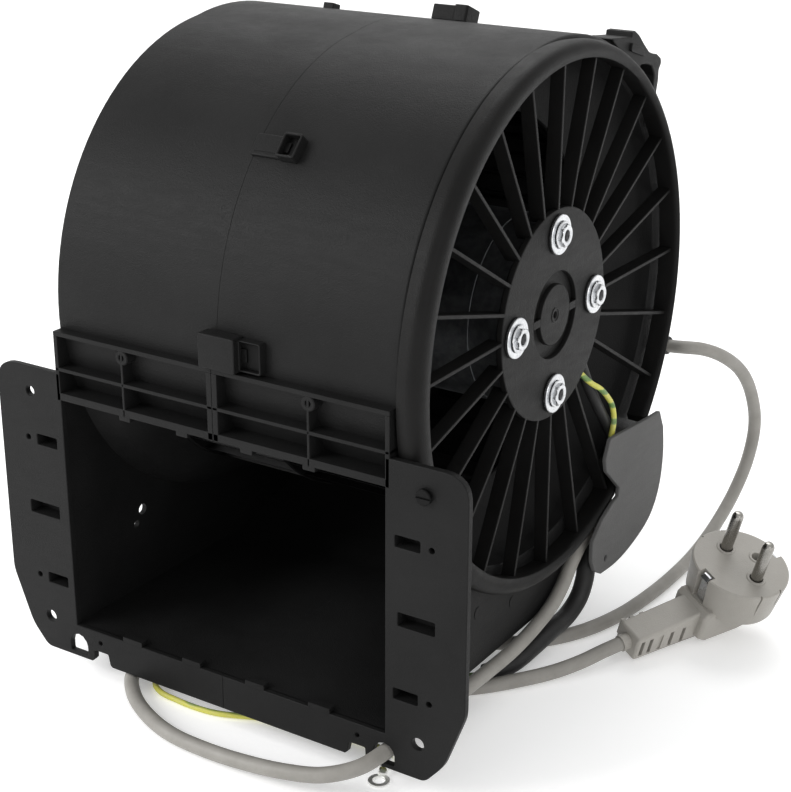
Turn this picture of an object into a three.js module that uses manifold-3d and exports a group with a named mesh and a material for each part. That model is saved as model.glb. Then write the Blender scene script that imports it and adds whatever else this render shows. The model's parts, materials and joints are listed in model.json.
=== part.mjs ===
// Double-inlet centrifugal blower: scroll housing in two half shells, spoked inlet guard
// that carries the motor, forward-curved wheel, outlet flange, leads and plug.
// Millimetres, +Z up. Fan axis along X, air leaves towards -Y. Built round the fan axis,
// then moved so that the origin is at the bottom centre of the standing object.
import * as THREE from 'three';
import { mergeVertices } from 'three/addons/utils/BufferGeometryUtils.js';
import Module from 'manifold-3d';

const wasm = await Module();
wasm.setup();

// ---- driving dimensions -------------------------------------------------------------
const GAP = 0.3;             // clearance between neighbouring pieces
const WALL = 2.5;            // shell wall
const R_SCROLL = 112.5;      // outer radius of the scroll at front and top
const R_GROW = 36;           // growth of the volute from top to bottom
const A_GROW = 97;           // angle at which the volute starts to grow
const X_SIDE = 85.5;         // outer face of the side walls
const Y_FLANGE = -117.2;     // front face of the outlet flange
const T_FLANGE = 3;          // flange thickness
const Z_DUCT = -148.5;       // underside of the duct
const Z_LIP = -162;          // lower edge of the flange
const Z_TABLE = -169.5;      // standing surface
const X_OPEN = 82.5;         // half width of the outlet opening
const Z_OPEN = -37.6;        // top of the outlet opening
const X_WING = 119.4;        // half width over the wings
const R_RING = 118.2;        // outer radius of the right guard ring
const Y_RING = 2.4;          // the ring sits a little off the fan axis
const Z_RING = -3.7;
const X_RING = 96;           // front of the right guard ring
const X_HUB = 92;            // face of the right guard hub
const R_HUB = 46;            // radius of the hub disc
const R_STUD = 35.2;         // pitch radius of the four motor studs
const N_SPOKE = 24;          // spoke positions on each guard
const SPOKE_T = 1.7;         // spoke thickness
const R_THROAT = 82;         // inlet throat radius
const R_WHEEL = 94;          // wheel radius
const X_WHEEL = 57;          // half width of the wheel
const N_BLADE = 26;          // blades of the wheel
const R_MOTOR = 41;          // motor can radius
const D_LEAD = 6.6;          // mains and control lead diameter
const D_EARTH = 2.6;         // earth conductor diameter
const D_SLEEVE = 8.8;        // black sleeve diameter
const GLAND_A = -22;         // angle of the rear lead outlet on the volute
const Y_SHIFT = -15.43;      // moves the box centre onto the origin in Y
const SCALE = 0.86;          // millimetres per drawing unit
const FACE = [154.5, 77.1, -132];          // centre of the plug face
const FACE_X = [0.859, -0.399, -0.32];     // from pin to pin
const FACE_Y = [0.4268, 0.9037, 0.0189];   // away from the lead
const FACE_Z = [0.282, -0.153, 0.947];     // out of the face, along the pins

const DEG = Math.PI / 180;

// ---- geometry helpers -----------------------------------------------------------------
function closed(geometry) {
  const g = geometry.clone();
  g.deleteAttribute('normal');
  g.deleteAttribute('uv');
  const merged = mergeVertices(g, 1e-4);
  const idx = merged.index.array;
  const kept = [];
  for (let i = 0; i < idx.length; i += 3) {
    const [a, b, c] = [idx[i], idx[i + 1], idx[i + 2]];
    if (a !== b && b !== c && c !== a) {
      kept.push(a, b, c);
    }
  }
  merged.setIndex(kept);
  return merged;
}

function toSolid(geometry) {
  const g = closed(geometry);
  const pos = Float32Array.from(g.attributes.position.array);
  const idx = Uint32Array.from(g.index.array);
  let mesh = new wasm.Mesh({ numProp: 3, vertProperties: pos, triVerts: idx });
  let solid = new wasm.Manifold(mesh);
  if (solid.volume() < 0) {
    for (let i = 0; i < idx.length; i += 3) {
      const t = idx[i];
      idx[i] = idx[i + 1];
      idx[i + 1] = t;
    }
    mesh = new wasm.Mesh({ numProp: 3, vertProperties: pos, triVerts: idx });
    solid = new wasm.Manifold(mesh);
  }
  return solid;
}

function fromSolid(solid) {
  const m = solid.getMesh();
  const count = m.vertProperties.length / m.numProp;
  const pos = new Float32Array(count * 3);
  for (let i = 0; i < count; i += 1) {
    pos[3 * i] = m.vertProperties[m.numProp * i];
    pos[3 * i + 1] = m.vertProperties[m.numProp * i + 1];
    pos[3 * i + 2] = m.vertProperties[m.numProp * i + 2];
  }
  const g = new THREE.BufferGeometry();
  g.setAttribute('position', new THREE.BufferAttribute(pos, 3));
  g.setIndex(Array.from(m.triVerts));
  return g;
}

function unite(parts) {
  let solid = toSolid(parts[0]);
  for (const part of parts.slice(1)) {
    solid = solid.add(toSolid(part));
  }
  return solid;
}

function cut(solid, tools) {
  let result = solid;
  for (const tool of tools) {
    result = result.subtract(toSolid(tool));
  }
  return result;
}

function wound(points, clockwise) {
  const list = points.map((q) => new THREE.Vector2(q[0], q[1]));
  return THREE.ShapeUtils.isClockWise(list) === clockwise ? list : list.reverse();
}

function shapeOf(points, holes = []) {
  const shape = new THREE.Shape(wound(points, false));
  for (const hole of holes) {
    shape.holes.push(new THREE.Path(wound(hole, true)));
  }
  return shape;
}

// outline in (Y, Z), extruded from x0 to x1
function prismX(points, x0, x1, holes = []) {
  const g = new THREE.ExtrudeGeometry(shapeOf(points, holes), {
    depth: x1 - x0, bevelEnabled: false, steps: 1 });
  const m = new THREE.Matrix4().set(0, 0, 1, x0, 1, 0, 0, 0, 0, 1, 0, 0, 0, 0, 0, 1);
  return g.applyMatrix4(m);
}

// outline in (X, Z), extruded from y0 to y1
function prismY(points, y0, y1, holes = []) {
  const g = new THREE.ExtrudeGeometry(shapeOf(points, holes), {
    depth: y1 - y0, bevelEnabled: false, steps: 1 });
  const m = new THREE.Matrix4().set(1, 0, 0, 0, 0, 0, -1, y1, 0, 1, 0, 0, 0, 0, 0, 1);
  return g.applyMatrix4(m);
}

function box(x0, x1, y0, y1, z0, z1) {
  const g = new THREE.BoxGeometry(x1 - x0, y1 - y0, z1 - z0);
  return g.translate((x0 + x1) / 2, (y0 + y1) / 2, (z0 + z1) / 2);
}

function rodX(r, x0, x1, y = 0, z = 0, n = 24) {
  const g = new THREE.CylinderGeometry(r, r, x1 - x0, n);
  return g.rotateZ(-Math.PI / 2).translate((x0 + x1) / 2, y, z);
}

function rodY(r, y0, y1, x, z, n = 20) {
  const g = new THREE.CylinderGeometry(r, r, y1 - y0, n);
  return g.translate(x, (y0 + y1) / 2, z);
}

// profile of [radius, x] pairs turned round the fan axis
function turned(profile, n = 32) {
  const points = profile.map((q) => new THREE.Vector2(q[0], q[1]));
  return new THREE.LatheGeometry(points, n).rotateZ(-Math.PI / 2);
}

// point at radius r and angle a (degrees, from +Y towards +Z)
function polar(r, a) {
  return [r * Math.cos(a * DEG), r * Math.sin(a * DEG)];
}

function circle(cx, cy, r, n = 20) {
  const points = [];
  for (let i = 0; i < n; i += 1) {
    const [u, v] = polar(r, (360 * i) / n);
    points.push([cx + u, cy + v]);
  }
  return points;
}

function tube(points, diameter, steps, n = 10) {
  const path = new THREE.CatmullRomCurve3(
    points.map((q) => new THREE.Vector3(q[0], q[1], q[2])), false, 'centripetal');
  const shape = shapeOf(circle(0, 0, diameter / 2, n));
  return new THREE.ExtrudeGeometry(shape, { steps, bevelEnabled: false, extrudePath: path });
}

function mirrored(solid) {
  const g = fromSolid(solid);
  g.scale(-1, 1, 1);
  const idx = g.index.array;
  for (let i = 0; i < idx.length; i += 3) {
    const t = idx[i];
    idx[i] = idx[i + 1];
    idx[i + 1] = t;
  }
  return toSolid(g);
}

// ---- materials and assembly -------------------------------------------------------------
const group = new THREE.Group();
group.name = 'blower';

const FINISH = {
  shell: [0x2e2e30, 0.6, 0.0],
  guard: [0x363737, 0.55, 0.0],
  cover: [0x626260, 0.6, 0.0],
  zinc: [0xc9ccd0, 0.3, 0.9],
  steel: [0x9a9da0, 0.35, 0.9],
  galvanised: [0x8d9094, 0.5, 0.8],
  wheel: [0x26272a, 0.55, 0.0],
  copper: [0xa5582c, 0.4, 0.7],
  brass: [0xc09a4a, 0.35, 0.9],
  lead: [0xb4b1aa, 0.55, 0.0],
  plug: [0xbcb6ae, 0.5, 0.0],
  sleeve: [0x1d1d1e, 0.7, 0.0],
  earth: [0xb7c238, 0.5, 0.0],
  bakelite: [0xd8d2c2, 0.6, 0.0],
};

function put(name, solidOrGeometry, finish) {
  const solid = solidOrGeometry.isBufferGeometry ? toSolid(solidOrGeometry) : solidOrGeometry;
  const g = fromSolid(solid);
  g.translate(0, Y_SHIFT, -Z_TABLE);
  g.scale(SCALE, SCALE, SCALE);
  const [color, roughness, metalness] = FINISH[finish];
  const material = new THREE.MeshStandardMaterial({ color, roughness, metalness });
  const mesh = new THREE.Mesh(g.toNonIndexed(), material);
  mesh.geometry.computeVertexNormals();
  mesh.name = name;
  group.add(mesh);
}

// ---- scroll shells ------------------------------------------------------------------------
function scrollRadius(angle) {
  if (angle >= A_GROW) {
    return R_SCROLL;
  }
  return R_SCROLL + (R_GROW * (A_GROW - angle)) / (A_GROW + 90);
}

function spiral(offset) {
  const points = [];
  for (let a = -90; a <= 196; a += 11) {
    points.push(polar(scrollRadius(a) - offset, a));
  }
  return points;
}

function shellHalf(wallHoles, extra = []) {
  const outer = spiral(0);
  const inner = spiral(WALL);
  const tongueOut = [-105.9, Z_OPEN];
  const tongueIn = [-103.2, Z_OPEN];
  const band = [[Y_FLANGE, Z_DUCT], ...outer, tongueOut, tongueIn,
    ...inner.slice().reverse(), [Y_FLANGE, Z_DUCT + WALL]];
  const side = [[Y_FLANGE, Z_DUCT], ...outer, tongueOut, [Y_FLANGE, Z_OPEN]];
  const x0 = GAP / 2;

  // flange wing, lower lip and their holes
  const wing = [[x0, -146], [X_OPEN, -146], [X_OPEN, -25.5], [108, -25.5], [114.5, -27.4],
    [118.2, -31.8], [X_WING, -37.5], [X_WING, -125], [117.9, -133.6], [112.2, -147.6],
    [107, -155.8], [102.4, -160], [96.5, Z_LIP], [74.6, Z_LIP], [73, -160.4], [72.8, -156],
    [65, -156], [64, -161], [62.8, Z_LIP], [x0, Z_LIP]];
  const dHole = [[77, -159.6], [87, -159.6], [87, -155.5], [85.6, -152.2], [82, -150.6],
    [78.4, -152.2], [77, -155.5]];
  const wingHoles = [circle(100.5, -37, 2.3, 14), circle(98, -145.8, 2.8, 16), dHole,
    circle(69, -151.4, 1.1, 8)];

  // ribbed frame above the opening
  const rib = [[Y_FLANGE, Z_OPEN], [-105.4, Z_OPEN], [-108.6, -23.5], [-111.4, -8.6],
    [Y_FLANGE, -8.6]];
  const shelf = (z0, z1, y1) => box(x0, 84.5, Y_FLANGE, y1, z0, z1);

  const parts = [
    prismX(band, x0, X_SIDE),
    prismX(side, X_SIDE - WALL, X_SIDE, [circle(0, 0, 109.2, 28), ...wallHoles]),
    turned([[110.4, X_SIDE], [109, 79], [104, 72], [95, 65.5], [82.6, 61.5],
      [R_THROAT, 59.4], [96, 63.2], [105.8, 70.2], [111.4, 78.2],
      [112.3, X_SIDE], [110.4, X_SIDE]], 28),
    prismY(wing, Y_FLANGE, Y_FLANGE + T_FLANGE, wingHoles),
    shelf(-37.6, -33.8, -105.4),
    shelf(-24.4, -22.6, -109),
    shelf(-8.6, -6.6, -111.3),
    prismX(rib, x0, 2.7),
    prismX(rib, 82.4, 84.5),
    prismX(rib, 46.4, 47.6),
    rodY(3.3, Y_FLANGE, -110.9, 47, -11.4, 14),
    box(12, 22, Y_FLANGE, Y_FLANGE + T_FLANGE, -147, -143.8),
    box(44.5, 55.5, Y_FLANGE, Y_FLANGE + T_FLANGE, -147, -143.8),
    box(13.5, 19.5, Y_FLANGE, -112, -39.6, -37),
    box(44, 50, Y_FLANGE, -112, -39.6, -37),
    // blind pockets behind the flange slots
    box(86, 105.4, Y_FLANGE + 2, Y_FLANGE + 4.4, -62.6, -55.4),
    box(86, 106.4, Y_FLANGE + 2, Y_FLANGE + 4.4, -96.4, -88.4),
    box(85.6, 105, Y_FLANGE + 2, Y_FLANGE + 4.4, -129.4, -122.6),
    // standing ribs under the housing
    box(24, 27, -95, -75, Z_TABLE, Z_DUCT + 1),
    prismX([[34, Z_TABLE], [58, Z_TABLE], [58, -132.5], [34, -139.5]], 42, 45),
  ];
  parts.push(...extra);
  const recess = (x, z, w, h) => box(x - w / 2, x + w / 2, Y_FLANGE - 1, Y_FLANGE + 3.2,
    z - h / 2, z + h / 2);
  return cut(unite(parts), [
    rodY(1.3, Y_FLANGE - 1, -113.2, 47, -11.4, 10),
    rodY(1.3, Y_FLANGE - 1, Y_FLANGE + 3.2, 103.5, -59, 10),
    rodY(1.3, Y_FLANGE - 1, Y_FLANGE + 3.2, 103, -126, 10),
    recess(92.6, -59, 11.5, 5),
    recess(96.8, -92.4, 17, 6),
    recess(92, -126, 11.5, 5),
  ]);
}

put('scroll_shell_right', shellHalf([]), 'shell');
put('scroll_shell_left', mirrored(shellHalf([circle(-68.7, -107.6, 2.6, 14),
  circle(-73.3, -113.4, 1.7, 10)], [box(42.2, 47.6, 115.5, 119.4, -3, 3)
  .rotateX(73 * DEG)])), 'shell');

// clips that hold the two shells together, set round the seam
function seamClip(angle, x0, x1, height, length) {
  const r = scrollRadius(angle) + GAP + 0.9;
  const g = box(x0, x1, r, r + height, -length / 2, length / 2);
  const body = toSolid(g).subtract(toSolid(
    box(x1 - 9.5, x1 - 1.4, r + 1.5, r + height + 1, -length / 2 + 2, length / 2 - 2)));
  const out = fromSolid(body);
  out.rotateX(angle * DEG);
  return out;
}
put('seam_clip_front', (() => {
  const body = toSolid(box(-4.5, 25.2, -119.4, -112.9, -6.2, 8.5));
  return body.subtract(toSolid(box(14.6, 23.6, -121, -115, -4.2, 6.6)));
})(), 'shell');
put('seam_clip_upper', seamClip(137, -1.3, 21.8, 4.5, 11), 'shell');
put('seam_clip_top', seamClip(68, 4.7, 22.8, 7, 12), 'shell');
put('seam_clip_rear', seamClip(20, -9, 16, 5, 12), 'shell');
put('seam_clip_low', seamClip(-52, -9, 16, 5, 12), 'shell');

// hook for the lead on the upper back of the right shell
put('lead_hook', prismX([[60, 106.6], [81.3, 104.4], [81.6, 106.5], [85.2, 106.5],
  [89.6, 104.1], [95.4, 99.3], [101.2, 95], [105.7, 93.6], [110.1, 92.7], [114.3, 90.3],
  [114.9, 88], [112.6, 85], [112.6, 80.6], [111.4, 76], [110.6, 69.5], [106.8, 68.8],
  [105.4, 72.2], [107, 78], [107.6, 84], [104, 88.4], [98, 90], [92.5, 90.4], [90, 86],
  [86.6, 88.4], [76, 95.8]], 70, 83), 'shell');

// ---- right guard with motor hub --------------------------------------------------------------
function spoke(angle, rIn, rOut, xIn, xOut, depth, depthOut = depth) {
  const points = [[rIn, xIn - depth], [rOut, xOut - depthOut], [rOut, xOut], [rIn, xIn]];
  const g = new THREE.ExtrudeGeometry(shapeOf(points), {
    depth: SPOKE_T, bevelEnabled: false, steps: 1 });
  g.translate(0, 0, -SPOKE_T / 2);
  // local x -> radius (Y), local y -> X, local z -> -Z
  g.applyMatrix4(new THREE.Matrix4().set(0, 1, 0, 0, 1, 0, 0, 0, 0, 0, -1, 0, 0, 0, 0, 1));
  return g.rotateX(angle * DEG);
}

function guardRight() {
  // the ring is open between the two spokes that frame the wiring cover
  const gapFrom = -57;
  const gapTo = -40;
  const ring = turned([[112, 86], [R_RING - 0.6, 86], [R_RING, 93.4], [R_RING - 2, X_RING],
    [111.8, 95.2], [111, 93.4], [112, 86]], 36);
  const wedge = [[0, 0], polar(150, gapFrom), polar(165, (gapFrom + gapTo) / 2),
    polar(150, gapTo)];
  const open = toSolid(ring).subtract(toSolid(prismX(wedge, 80, 100)))
    .translate([0, Y_RING, Z_RING]);
  let body = open.add(toSolid(rodX(R_HUB, X_HUB - 3, X_HUB, 0, 0, 36)));
  for (let i = 0; i < N_SPOKE; i += 1) {
    const angle = (360 / N_SPOKE) * i;
    if (angle !== 315) {
      const [u, v] = polar(1, angle);
      const reach = 113 + u * Y_RING + v * Z_RING;
      body = body.add(toSolid(spoke(angle, R_HUB - 2, reach, X_HUB - 0.05, 91.2, 7.4, 5)));
    }
  }
  // bearing cap groove in two arcs and centre mark
  const groove = turned([[13.6, X_HUB - 1], [18.4, X_HUB - 1], [18.4, X_HUB + 1],
    [13.6, X_HUB + 1], [13.6, X_HUB - 1]], 24);
  const bridge = box(X_HUB - 2, X_HUB + 2, -22, 22, -1.6, 1.6);
  const arcs = toSolid(groove).subtract(toSolid(bridge));
  body = body.subtract(arcs);
  body = body.subtract(toSolid(rodX(1.4, X_HUB - 1, X_HUB + 1, 0, 0, 10)));
  for (const angle of [0, 90, 180, 270]) {
    const [y, z] = polar(R_STUD, angle);
    body = body.subtract(toSolid(rodX(2.9, X_HUB - 5, X_HUB + 2, y, z, 10)));
  }
  // the rim passes behind the flange wing
  const relief = box(80, 100, -122, Y_FLANGE + T_FLANGE + GAP, -60, -25.2);
  return body.subtract(toSolid(relief));
}
put('inlet_guard_right', guardRight(), 'guard');

// ---- wiring cover in the sector of the missing spoke --------------------------------------------
const coverRim = [[107.9, -86.3], [109.6, -100], [108.4, -115.3], [103.2, -125], [95.5, -132],
  [76, -138.4], [60, -140.4], [45, -139.6]];
const coverEdge = [[102.6, -76.4], ...coverRim, [38, -135.6], [34.6, -129], [34.4, -119],
  [44, -111.2], [54, -106.8], [59.8, -105.2], [60.4, -101], [47.4, -88.6], [46.4, -82.5], [51.2, -73.4],
  [75.9, -74.9]];

function coverFlush(g) {
  // inside the ring the plate follows the slope of the spokes
  const pos = g.attributes.position;
  for (let i = 0; i < pos.count; i += 1) {
    const r = Math.hypot(pos.getY(i), pos.getZ(i));
    const drop = Math.max(0, (R_RING - r) / (R_RING - R_HUB)) * 3.6;
    pos.setX(i, pos.getX(i) - drop);
  }
  return g;
}
put('wiring_cover', (() => {
  const snap = circle(49, -133, 1.5, 8);
  const plate = coverFlush(prismX(coverEdge, X_RING + GAP, X_RING + 2.4, [snap]));
  const wall = coverRim.slice(0, 7);
  const inside = wall.map((q) => {
    const k = 1 - 1.8 / Math.hypot(q[0], q[1]);
    return [q[0] * k, q[1] * k];
  });
  return toSolid(plate).add(toSolid(prismX([...wall, ...inside.reverse()], 86,
    X_RING + 1)));
})(), 'cover');
put('terminal_block', (() => {
  const body = new THREE.BoxGeometry(7.6, 26, 13);
  const g = toSolid(body);
  let out = g;
  for (const y of [-8.5, 0, 8.5]) {
    out = out.subtract(toSolid(rodX(2.3, 1.6, 6, y, 0, 10)));
  }
  const h = fromSolid(out);
  h.rotateX(-40 * DEG);
  return h.translate(89.9, 91.5, -98);
})(), 'bakelite');
put('motor_lead_sheath', tube([[86.6, 35.5, -31.6], [87.6, 42, -44], [88.4, 51, -57],
  [89, 61, -70], [89.4, 69, -81], [89.6, 74.5, -89]], 5.4, 8, 10), 'lead');
put('motor_earth_wire', tube([[89.2, 31.5, -37], [92.2, 36.8, -44], [93.2, 44, -55],
  [92.8, 49.5, -66], [93, 54.5, -78], [93, 62, -88], [92.4, 71, -97.5]], D_EARTH, 12, 8), 'earth');

// ---- motor studs, washers and nuts -----------------------------------------------------------------
[90, 180, 270, 0].forEach((angle, i) => {
  const [y, z] = polar(R_STUD, angle);
  const n = i + 1;
  put(`motor_stud_${n}`, rodX(2.2, 84.9, X_HUB + 5, y, z, 10), 'steel');
  put(`washer_${n}`, cut(unite([rodX(8.6, X_HUB + GAP, X_HUB + 1.7, y, z, 20)]),
    [rodX(2.6, X_HUB - 1, X_HUB + 4, y, z, 10)]), 'zinc');
  put(`nut_${n}`, cut(unite([rodX(4.9, X_HUB + 2, X_HUB + 4.4, y, z, 6),
    rodX(5.6, X_HUB + 2, X_HUB + 2.8, y, z, 12)]),
  [rodX(2.5, X_HUB - 1, X_HUB + 9, y, z, 10)]), 'zinc');
});

// ---- left guard -----------------------------------------------------------------------------------
function guardLeft() {
  const xf = -82.4;            // lies inside the mouth of the scroll
  let body = toSolid(turned([[104.4, xf], [107.9, xf], [107.7, xf - 2.6],
    [104.4, xf - 2.6], [104.4, xf]], 28));
  body = body.add(toSolid(rodX(24, xf - 2.6, xf - 0.2, 0, 0, 24)));
  for (let i = 0; i < N_SPOKE; i += 1) {
    body = body.add(toSolid(spoke((360 / N_SPOKE) * i, 22, 105.6, xf - 0.05, xf - 0.05, 2.5)));
  }
  return body;
}
put('inlet_guard_left', guardLeft(), 'guard');

// ---- motor ---------------------------------------------------------------------------------------
put('motor_can', (() => {
  const shell = turned([[0, 88.7], [R_MOTOR - 1, 88.7], [R_MOTOR, 87.5], [R_MOTOR, 40],
    [R_MOTOR - 2, 37], [R_MOTOR - 2.2, 38.5], [R_MOTOR - 2.2, 84.6], [9.6, 84.6], [9.6, 81.5],
    [0, 81.5]], 32);
  const tools = [90, 180, 270, 0].map((angle) => {
    const [y, z] = polar(R_STUD, angle);
    return rodX(2.6, 84, 90, y, z, 10);
  });
  return cut(toSolid(shell), tools);
})(), 'galvanised');
put('stator_core', turned([[24, 48], [38.4, 48], [38.4, 72], [24, 72], [24, 48]], 28), 'steel');
put('stator_winding', turned([[25, 72.3], [36.6, 72.3], [36.6, 79], [33, 82], [28, 82],
  [25, 79], [25, 72.3]], 24), 'copper');
put('motor_end_bell', turned([[9.4, 34], [14, 34], [14, 37], [R_MOTOR - 4, 38.6],
  [R_MOTOR - 2.6, 40], [R_MOTOR - 2.6, 42], [14, 40.4], [14, 41.5], [9.4, 41.5], [9.4, 34]], 28),
'galvanised');
put('bearing_rear', turned([[4.3, 76.5], [9.2, 76.5], [9.2, 81.2], [4.3, 81.2], [4.3, 76.5]], 18),
  'steel');
put('bearing_front', turned([[4.3, 34.6], [9.1, 34.6], [9.1, 40.8], [4.3, 40.8], [4.3, 34.6]], 18),
  'steel');

// ---- rotating parts --------------------------------------------------------------------------------
put('motor_shaft', rodX(4, -14, 80.8, 0, 0, 16), 'steel');
put('motor_rotor', turned([[4.3, 50], [23.2, 50], [23.2, 70], [4.3, 70], [4.3, 50]], 20), 'steel');

function wheel() {
  const ring = (x0, x1) => turned([[83.6, x0], [R_WHEEL, x0], [R_WHEEL, x1], [83.6, x1],
    [83.6, x0]], 26);
  let body = toSolid(turned([[4.3, -11], [12, -11], [14, -1.4], [R_WHEEL, -1.2],
    [R_WHEEL, 1.2], [14, 1.4], [12, 11], [4.3, 11], [4.3, -11]], 26));
  body = body.add(toSolid(ring(X_WHEEL - 3, X_WHEEL)));
  body = body.add(toSolid(ring(-X_WHEEL, -X_WHEEL + 3)));
  for (let i = 0; i < N_BLADE; i += 1) {
    const a = (360 * i) / N_BLADE;
    const blade = [polar(84, a + 0.5), polar(89, a - 1), polar(93, a - 5),
      polar(92.6, a - 6), polar(84, a - 0.5)];
    body = body.add(toSolid(prismX(blade, -X_WHEEL + 1, X_WHEEL - 1)));
  }
  return body;
}
put('impeller', wheel(), 'wheel');
put('wheel_clamp', cut(toSolid(turned([[14.4, 3.4], [17.2, 3.4], [17.2, 10.4], [14.4, 10.4],
  [14.4, 3.4]], 18)), [box(2, 12, -1.2, 1.2, 8, 20)]), 'zinc');
put('clamp_screw', (() => {
  const g = new THREE.CylinderGeometry(1.6, 1.6, 5.2, 10);
  const head = new THREE.CylinderGeometry(2.9, 2.9, 2.4, 12);
  head.translate(0, 3.4, 0);
  const s = fromSolid(toSolid(g).add(toSolid(head)));
  s.rotateX(Math.PI);
  return s.translate(6.9, -20.4, 0);
})(), 'zinc');

// ---- wing screw and rear lead outlet -----------------------------------------------------------------
put('flange_screw', unite([rodY(1.9, Y_FLANGE - 0.4, Y_FLANGE + 9, 100.5, -37, 12),
  rodY(3.4, Y_FLANGE - 2.2, Y_FLANGE - GAP, 100.5, -37, 14)]), 'steel');

const [glandY, glandZ] = polar(scrollRadius(GLAND_A) + 15.5, GLAND_A);
put('lead_outlet', (() => {
  const r = scrollRadius(GLAND_A) + GAP + 0.7;
  const base = box(34, 62, r, r + 22, -9, 9);
  const mid = scrollRadius(GLAND_A) + 15.5;
  const nose = new THREE.CylinderGeometry(4.5, 6.6, 24, 16).rotateZ(-Math.PI / 2);
  nose.translate(73, mid, 0);
  const bore = rodX(D_LEAD / 2 + 0.4, 40, 88, mid, 0, 12);
  const g = fromSolid(toSolid(base).add(toSolid(nose)).subtract(toSolid(bore)));
  return g.rotateX(GLAND_A * DEG);
})(), 'shell');

// ---- leads -------------------------------------------------------------------------------------------
const Z_LEAD = Z_TABLE + D_LEAD / 2 + 0.1;
const Z_EARTH = Z_TABLE + D_EARTH / 2 + 0.4;

// mains lead: out from behind the wiring cover, through the hole in the right wing, round the
// front, back under the housing and out to the plug
const mainsPath = [
  [89.6, 66, -111.5], [89.6, 54, -118], [89.6, 46, -121.3], [89.5, 38, -125.2],
  [89.4, 31, -130.5], [89.4, 23, -138.3], [89.4, 12, -144.6], [89.2, -4, -148.6],
  [88.9, -22, -151], [87.6, -40, -152.4], [86, -55, -153.6], [84.3, -72, -154.6],
  [82.4, -95, -155.2], [81.6, -117, -155.6], [77.4, -128.8, -157.4], [66, -137, -160.4],
  [50, -140.6, -162.6], [29, -142, -164.6], [8, -142, -165.6], [-12, -139.6, Z_LEAD],
  [-31, -132.6, Z_LEAD], [-46, -122.8, Z_LEAD], [-56.5, -111, Z_LEAD], [-61, -97, Z_LEAD],
  [-58, -81, Z_LEAD], [-47, -69.5, Z_LEAD], [-30, -64, Z_LEAD], [-6, -62.5, Z_LEAD],
  [20, -61.5, Z_LEAD], [44, -58, Z_LEAD], [64, -49, Z_LEAD], [80, -35.5, Z_LEAD],
  [92, -20.5, Z_LEAD], [101.6, -6.4, Z_LEAD + 0.3], [109.4, 5.2, -163.8], [114.8, 15.7, -161.9],
  [119.7, 25, -160.45], [122.2, 29.8, -159.7]];
put('mains_lead', tube(mainsPath, D_LEAD, 66, 8), 'lead');

// control lead: out of the rear outlet, down to the table, under the housing to the back
const controlPath = [
  [44, glandY, glandZ], [58, glandY, glandZ], [86, glandY, glandZ], [93, 140.4, -56],
  [100.4, 146, -57.2], [107, 158, -63.5], [111.4, 174, -76], [113, 187, -93], [113, 194.6, -112],
  [111.8, 192, -130], [110, 180, -146], [108.2, 160, -158.6], [107.2, 138, -165.2],
  [107.4, 112, Z_LEAD], [106.2, 84, Z_LEAD], [102.6, 58, Z_LEAD], [94.6, 34, Z_LEAD],
  [81, 14, Z_LEAD], [62, 0, Z_LEAD], [36, -9, Z_LEAD], [6, -12, Z_LEAD], [-24, -9, Z_LEAD],
  [-52, 2, Z_LEAD], [-74, 20, Z_LEAD], [-88, 44, Z_LEAD], [-93, 72, Z_LEAD], [-92, 100, Z_LEAD],
  [-86, 128, Z_LEAD], [-78, 152, Z_LEAD]];
put('control_lead', tube(controlPath, D_LEAD, 50, 8), 'lead');
put('control_connector', (() => {
  const g = toSolid(box(-11, 11, 0, 30, Z_TABLE + 0.1, Z_TABLE + 12));
  let out = g;
  for (const x of [-7, -2.3, 2.3, 7]) {
    out = out.subtract(toSolid(box(x - 1.4, x + 1.4, 20, 34, Z_TABLE + 3, Z_TABLE + 9)));
  }
  const h = fromSolid(out);
  h.rotateZ(-18 * DEG);
  return h.translate(-77.2, 153.6, 0);
})(), 'bakelite');

// earth lead: leaves the wiring cover in a black sleeve, runs under the housing to the front
const sleevePath = [
  [90.4, 56, -128.8], [90.5, 50, -131.2], [90.6, 45.2, -136.4], [90.6, 43.6, -143.5],
  [90, 39.6, -151.6], [89, 30.4, -157.2], [88.4, 15, -158.4], [87, 0, -160.6],
  [84, -14, -163.4], [77, -26, -165]];
put('earth_sleeve', tube(sleevePath, D_SLEEVE, 14, 8), 'sleeve');
const earthPath = [
  [75.9, -27.4, -165.2], [66, -31.6, -167], [50, -34.5, Z_EARTH], [25, -36, Z_EARTH],
  [0, -38.5, Z_EARTH], [-17, -46, -165.6], [-26, -55.6, -161.2], [-32, -65, -160.4],
  [-37.6, -75.4, -162.4], [-43, -88, -166.8], [-46.6, -99, Z_EARTH], [-45.4, -108.6, Z_EARTH],
  [-38, -113.8, Z_EARTH], [-28, -115.2, Z_EARTH], [-17, -115.6, Z_EARTH],
  [-6, -114.2, Z_EARTH], [12, -107, Z_EARTH], [30, -102, Z_EARTH], [50, -99, Z_EARTH],
  [66, -98.4, Z_EARTH], [73.6, -100.4, -167.6], [76.6, -105, -167.2], [77.6, -109, -167.2]];
put('earth_lead', tube(earthPath, D_EARTH, 60, 8), 'earth');

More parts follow.
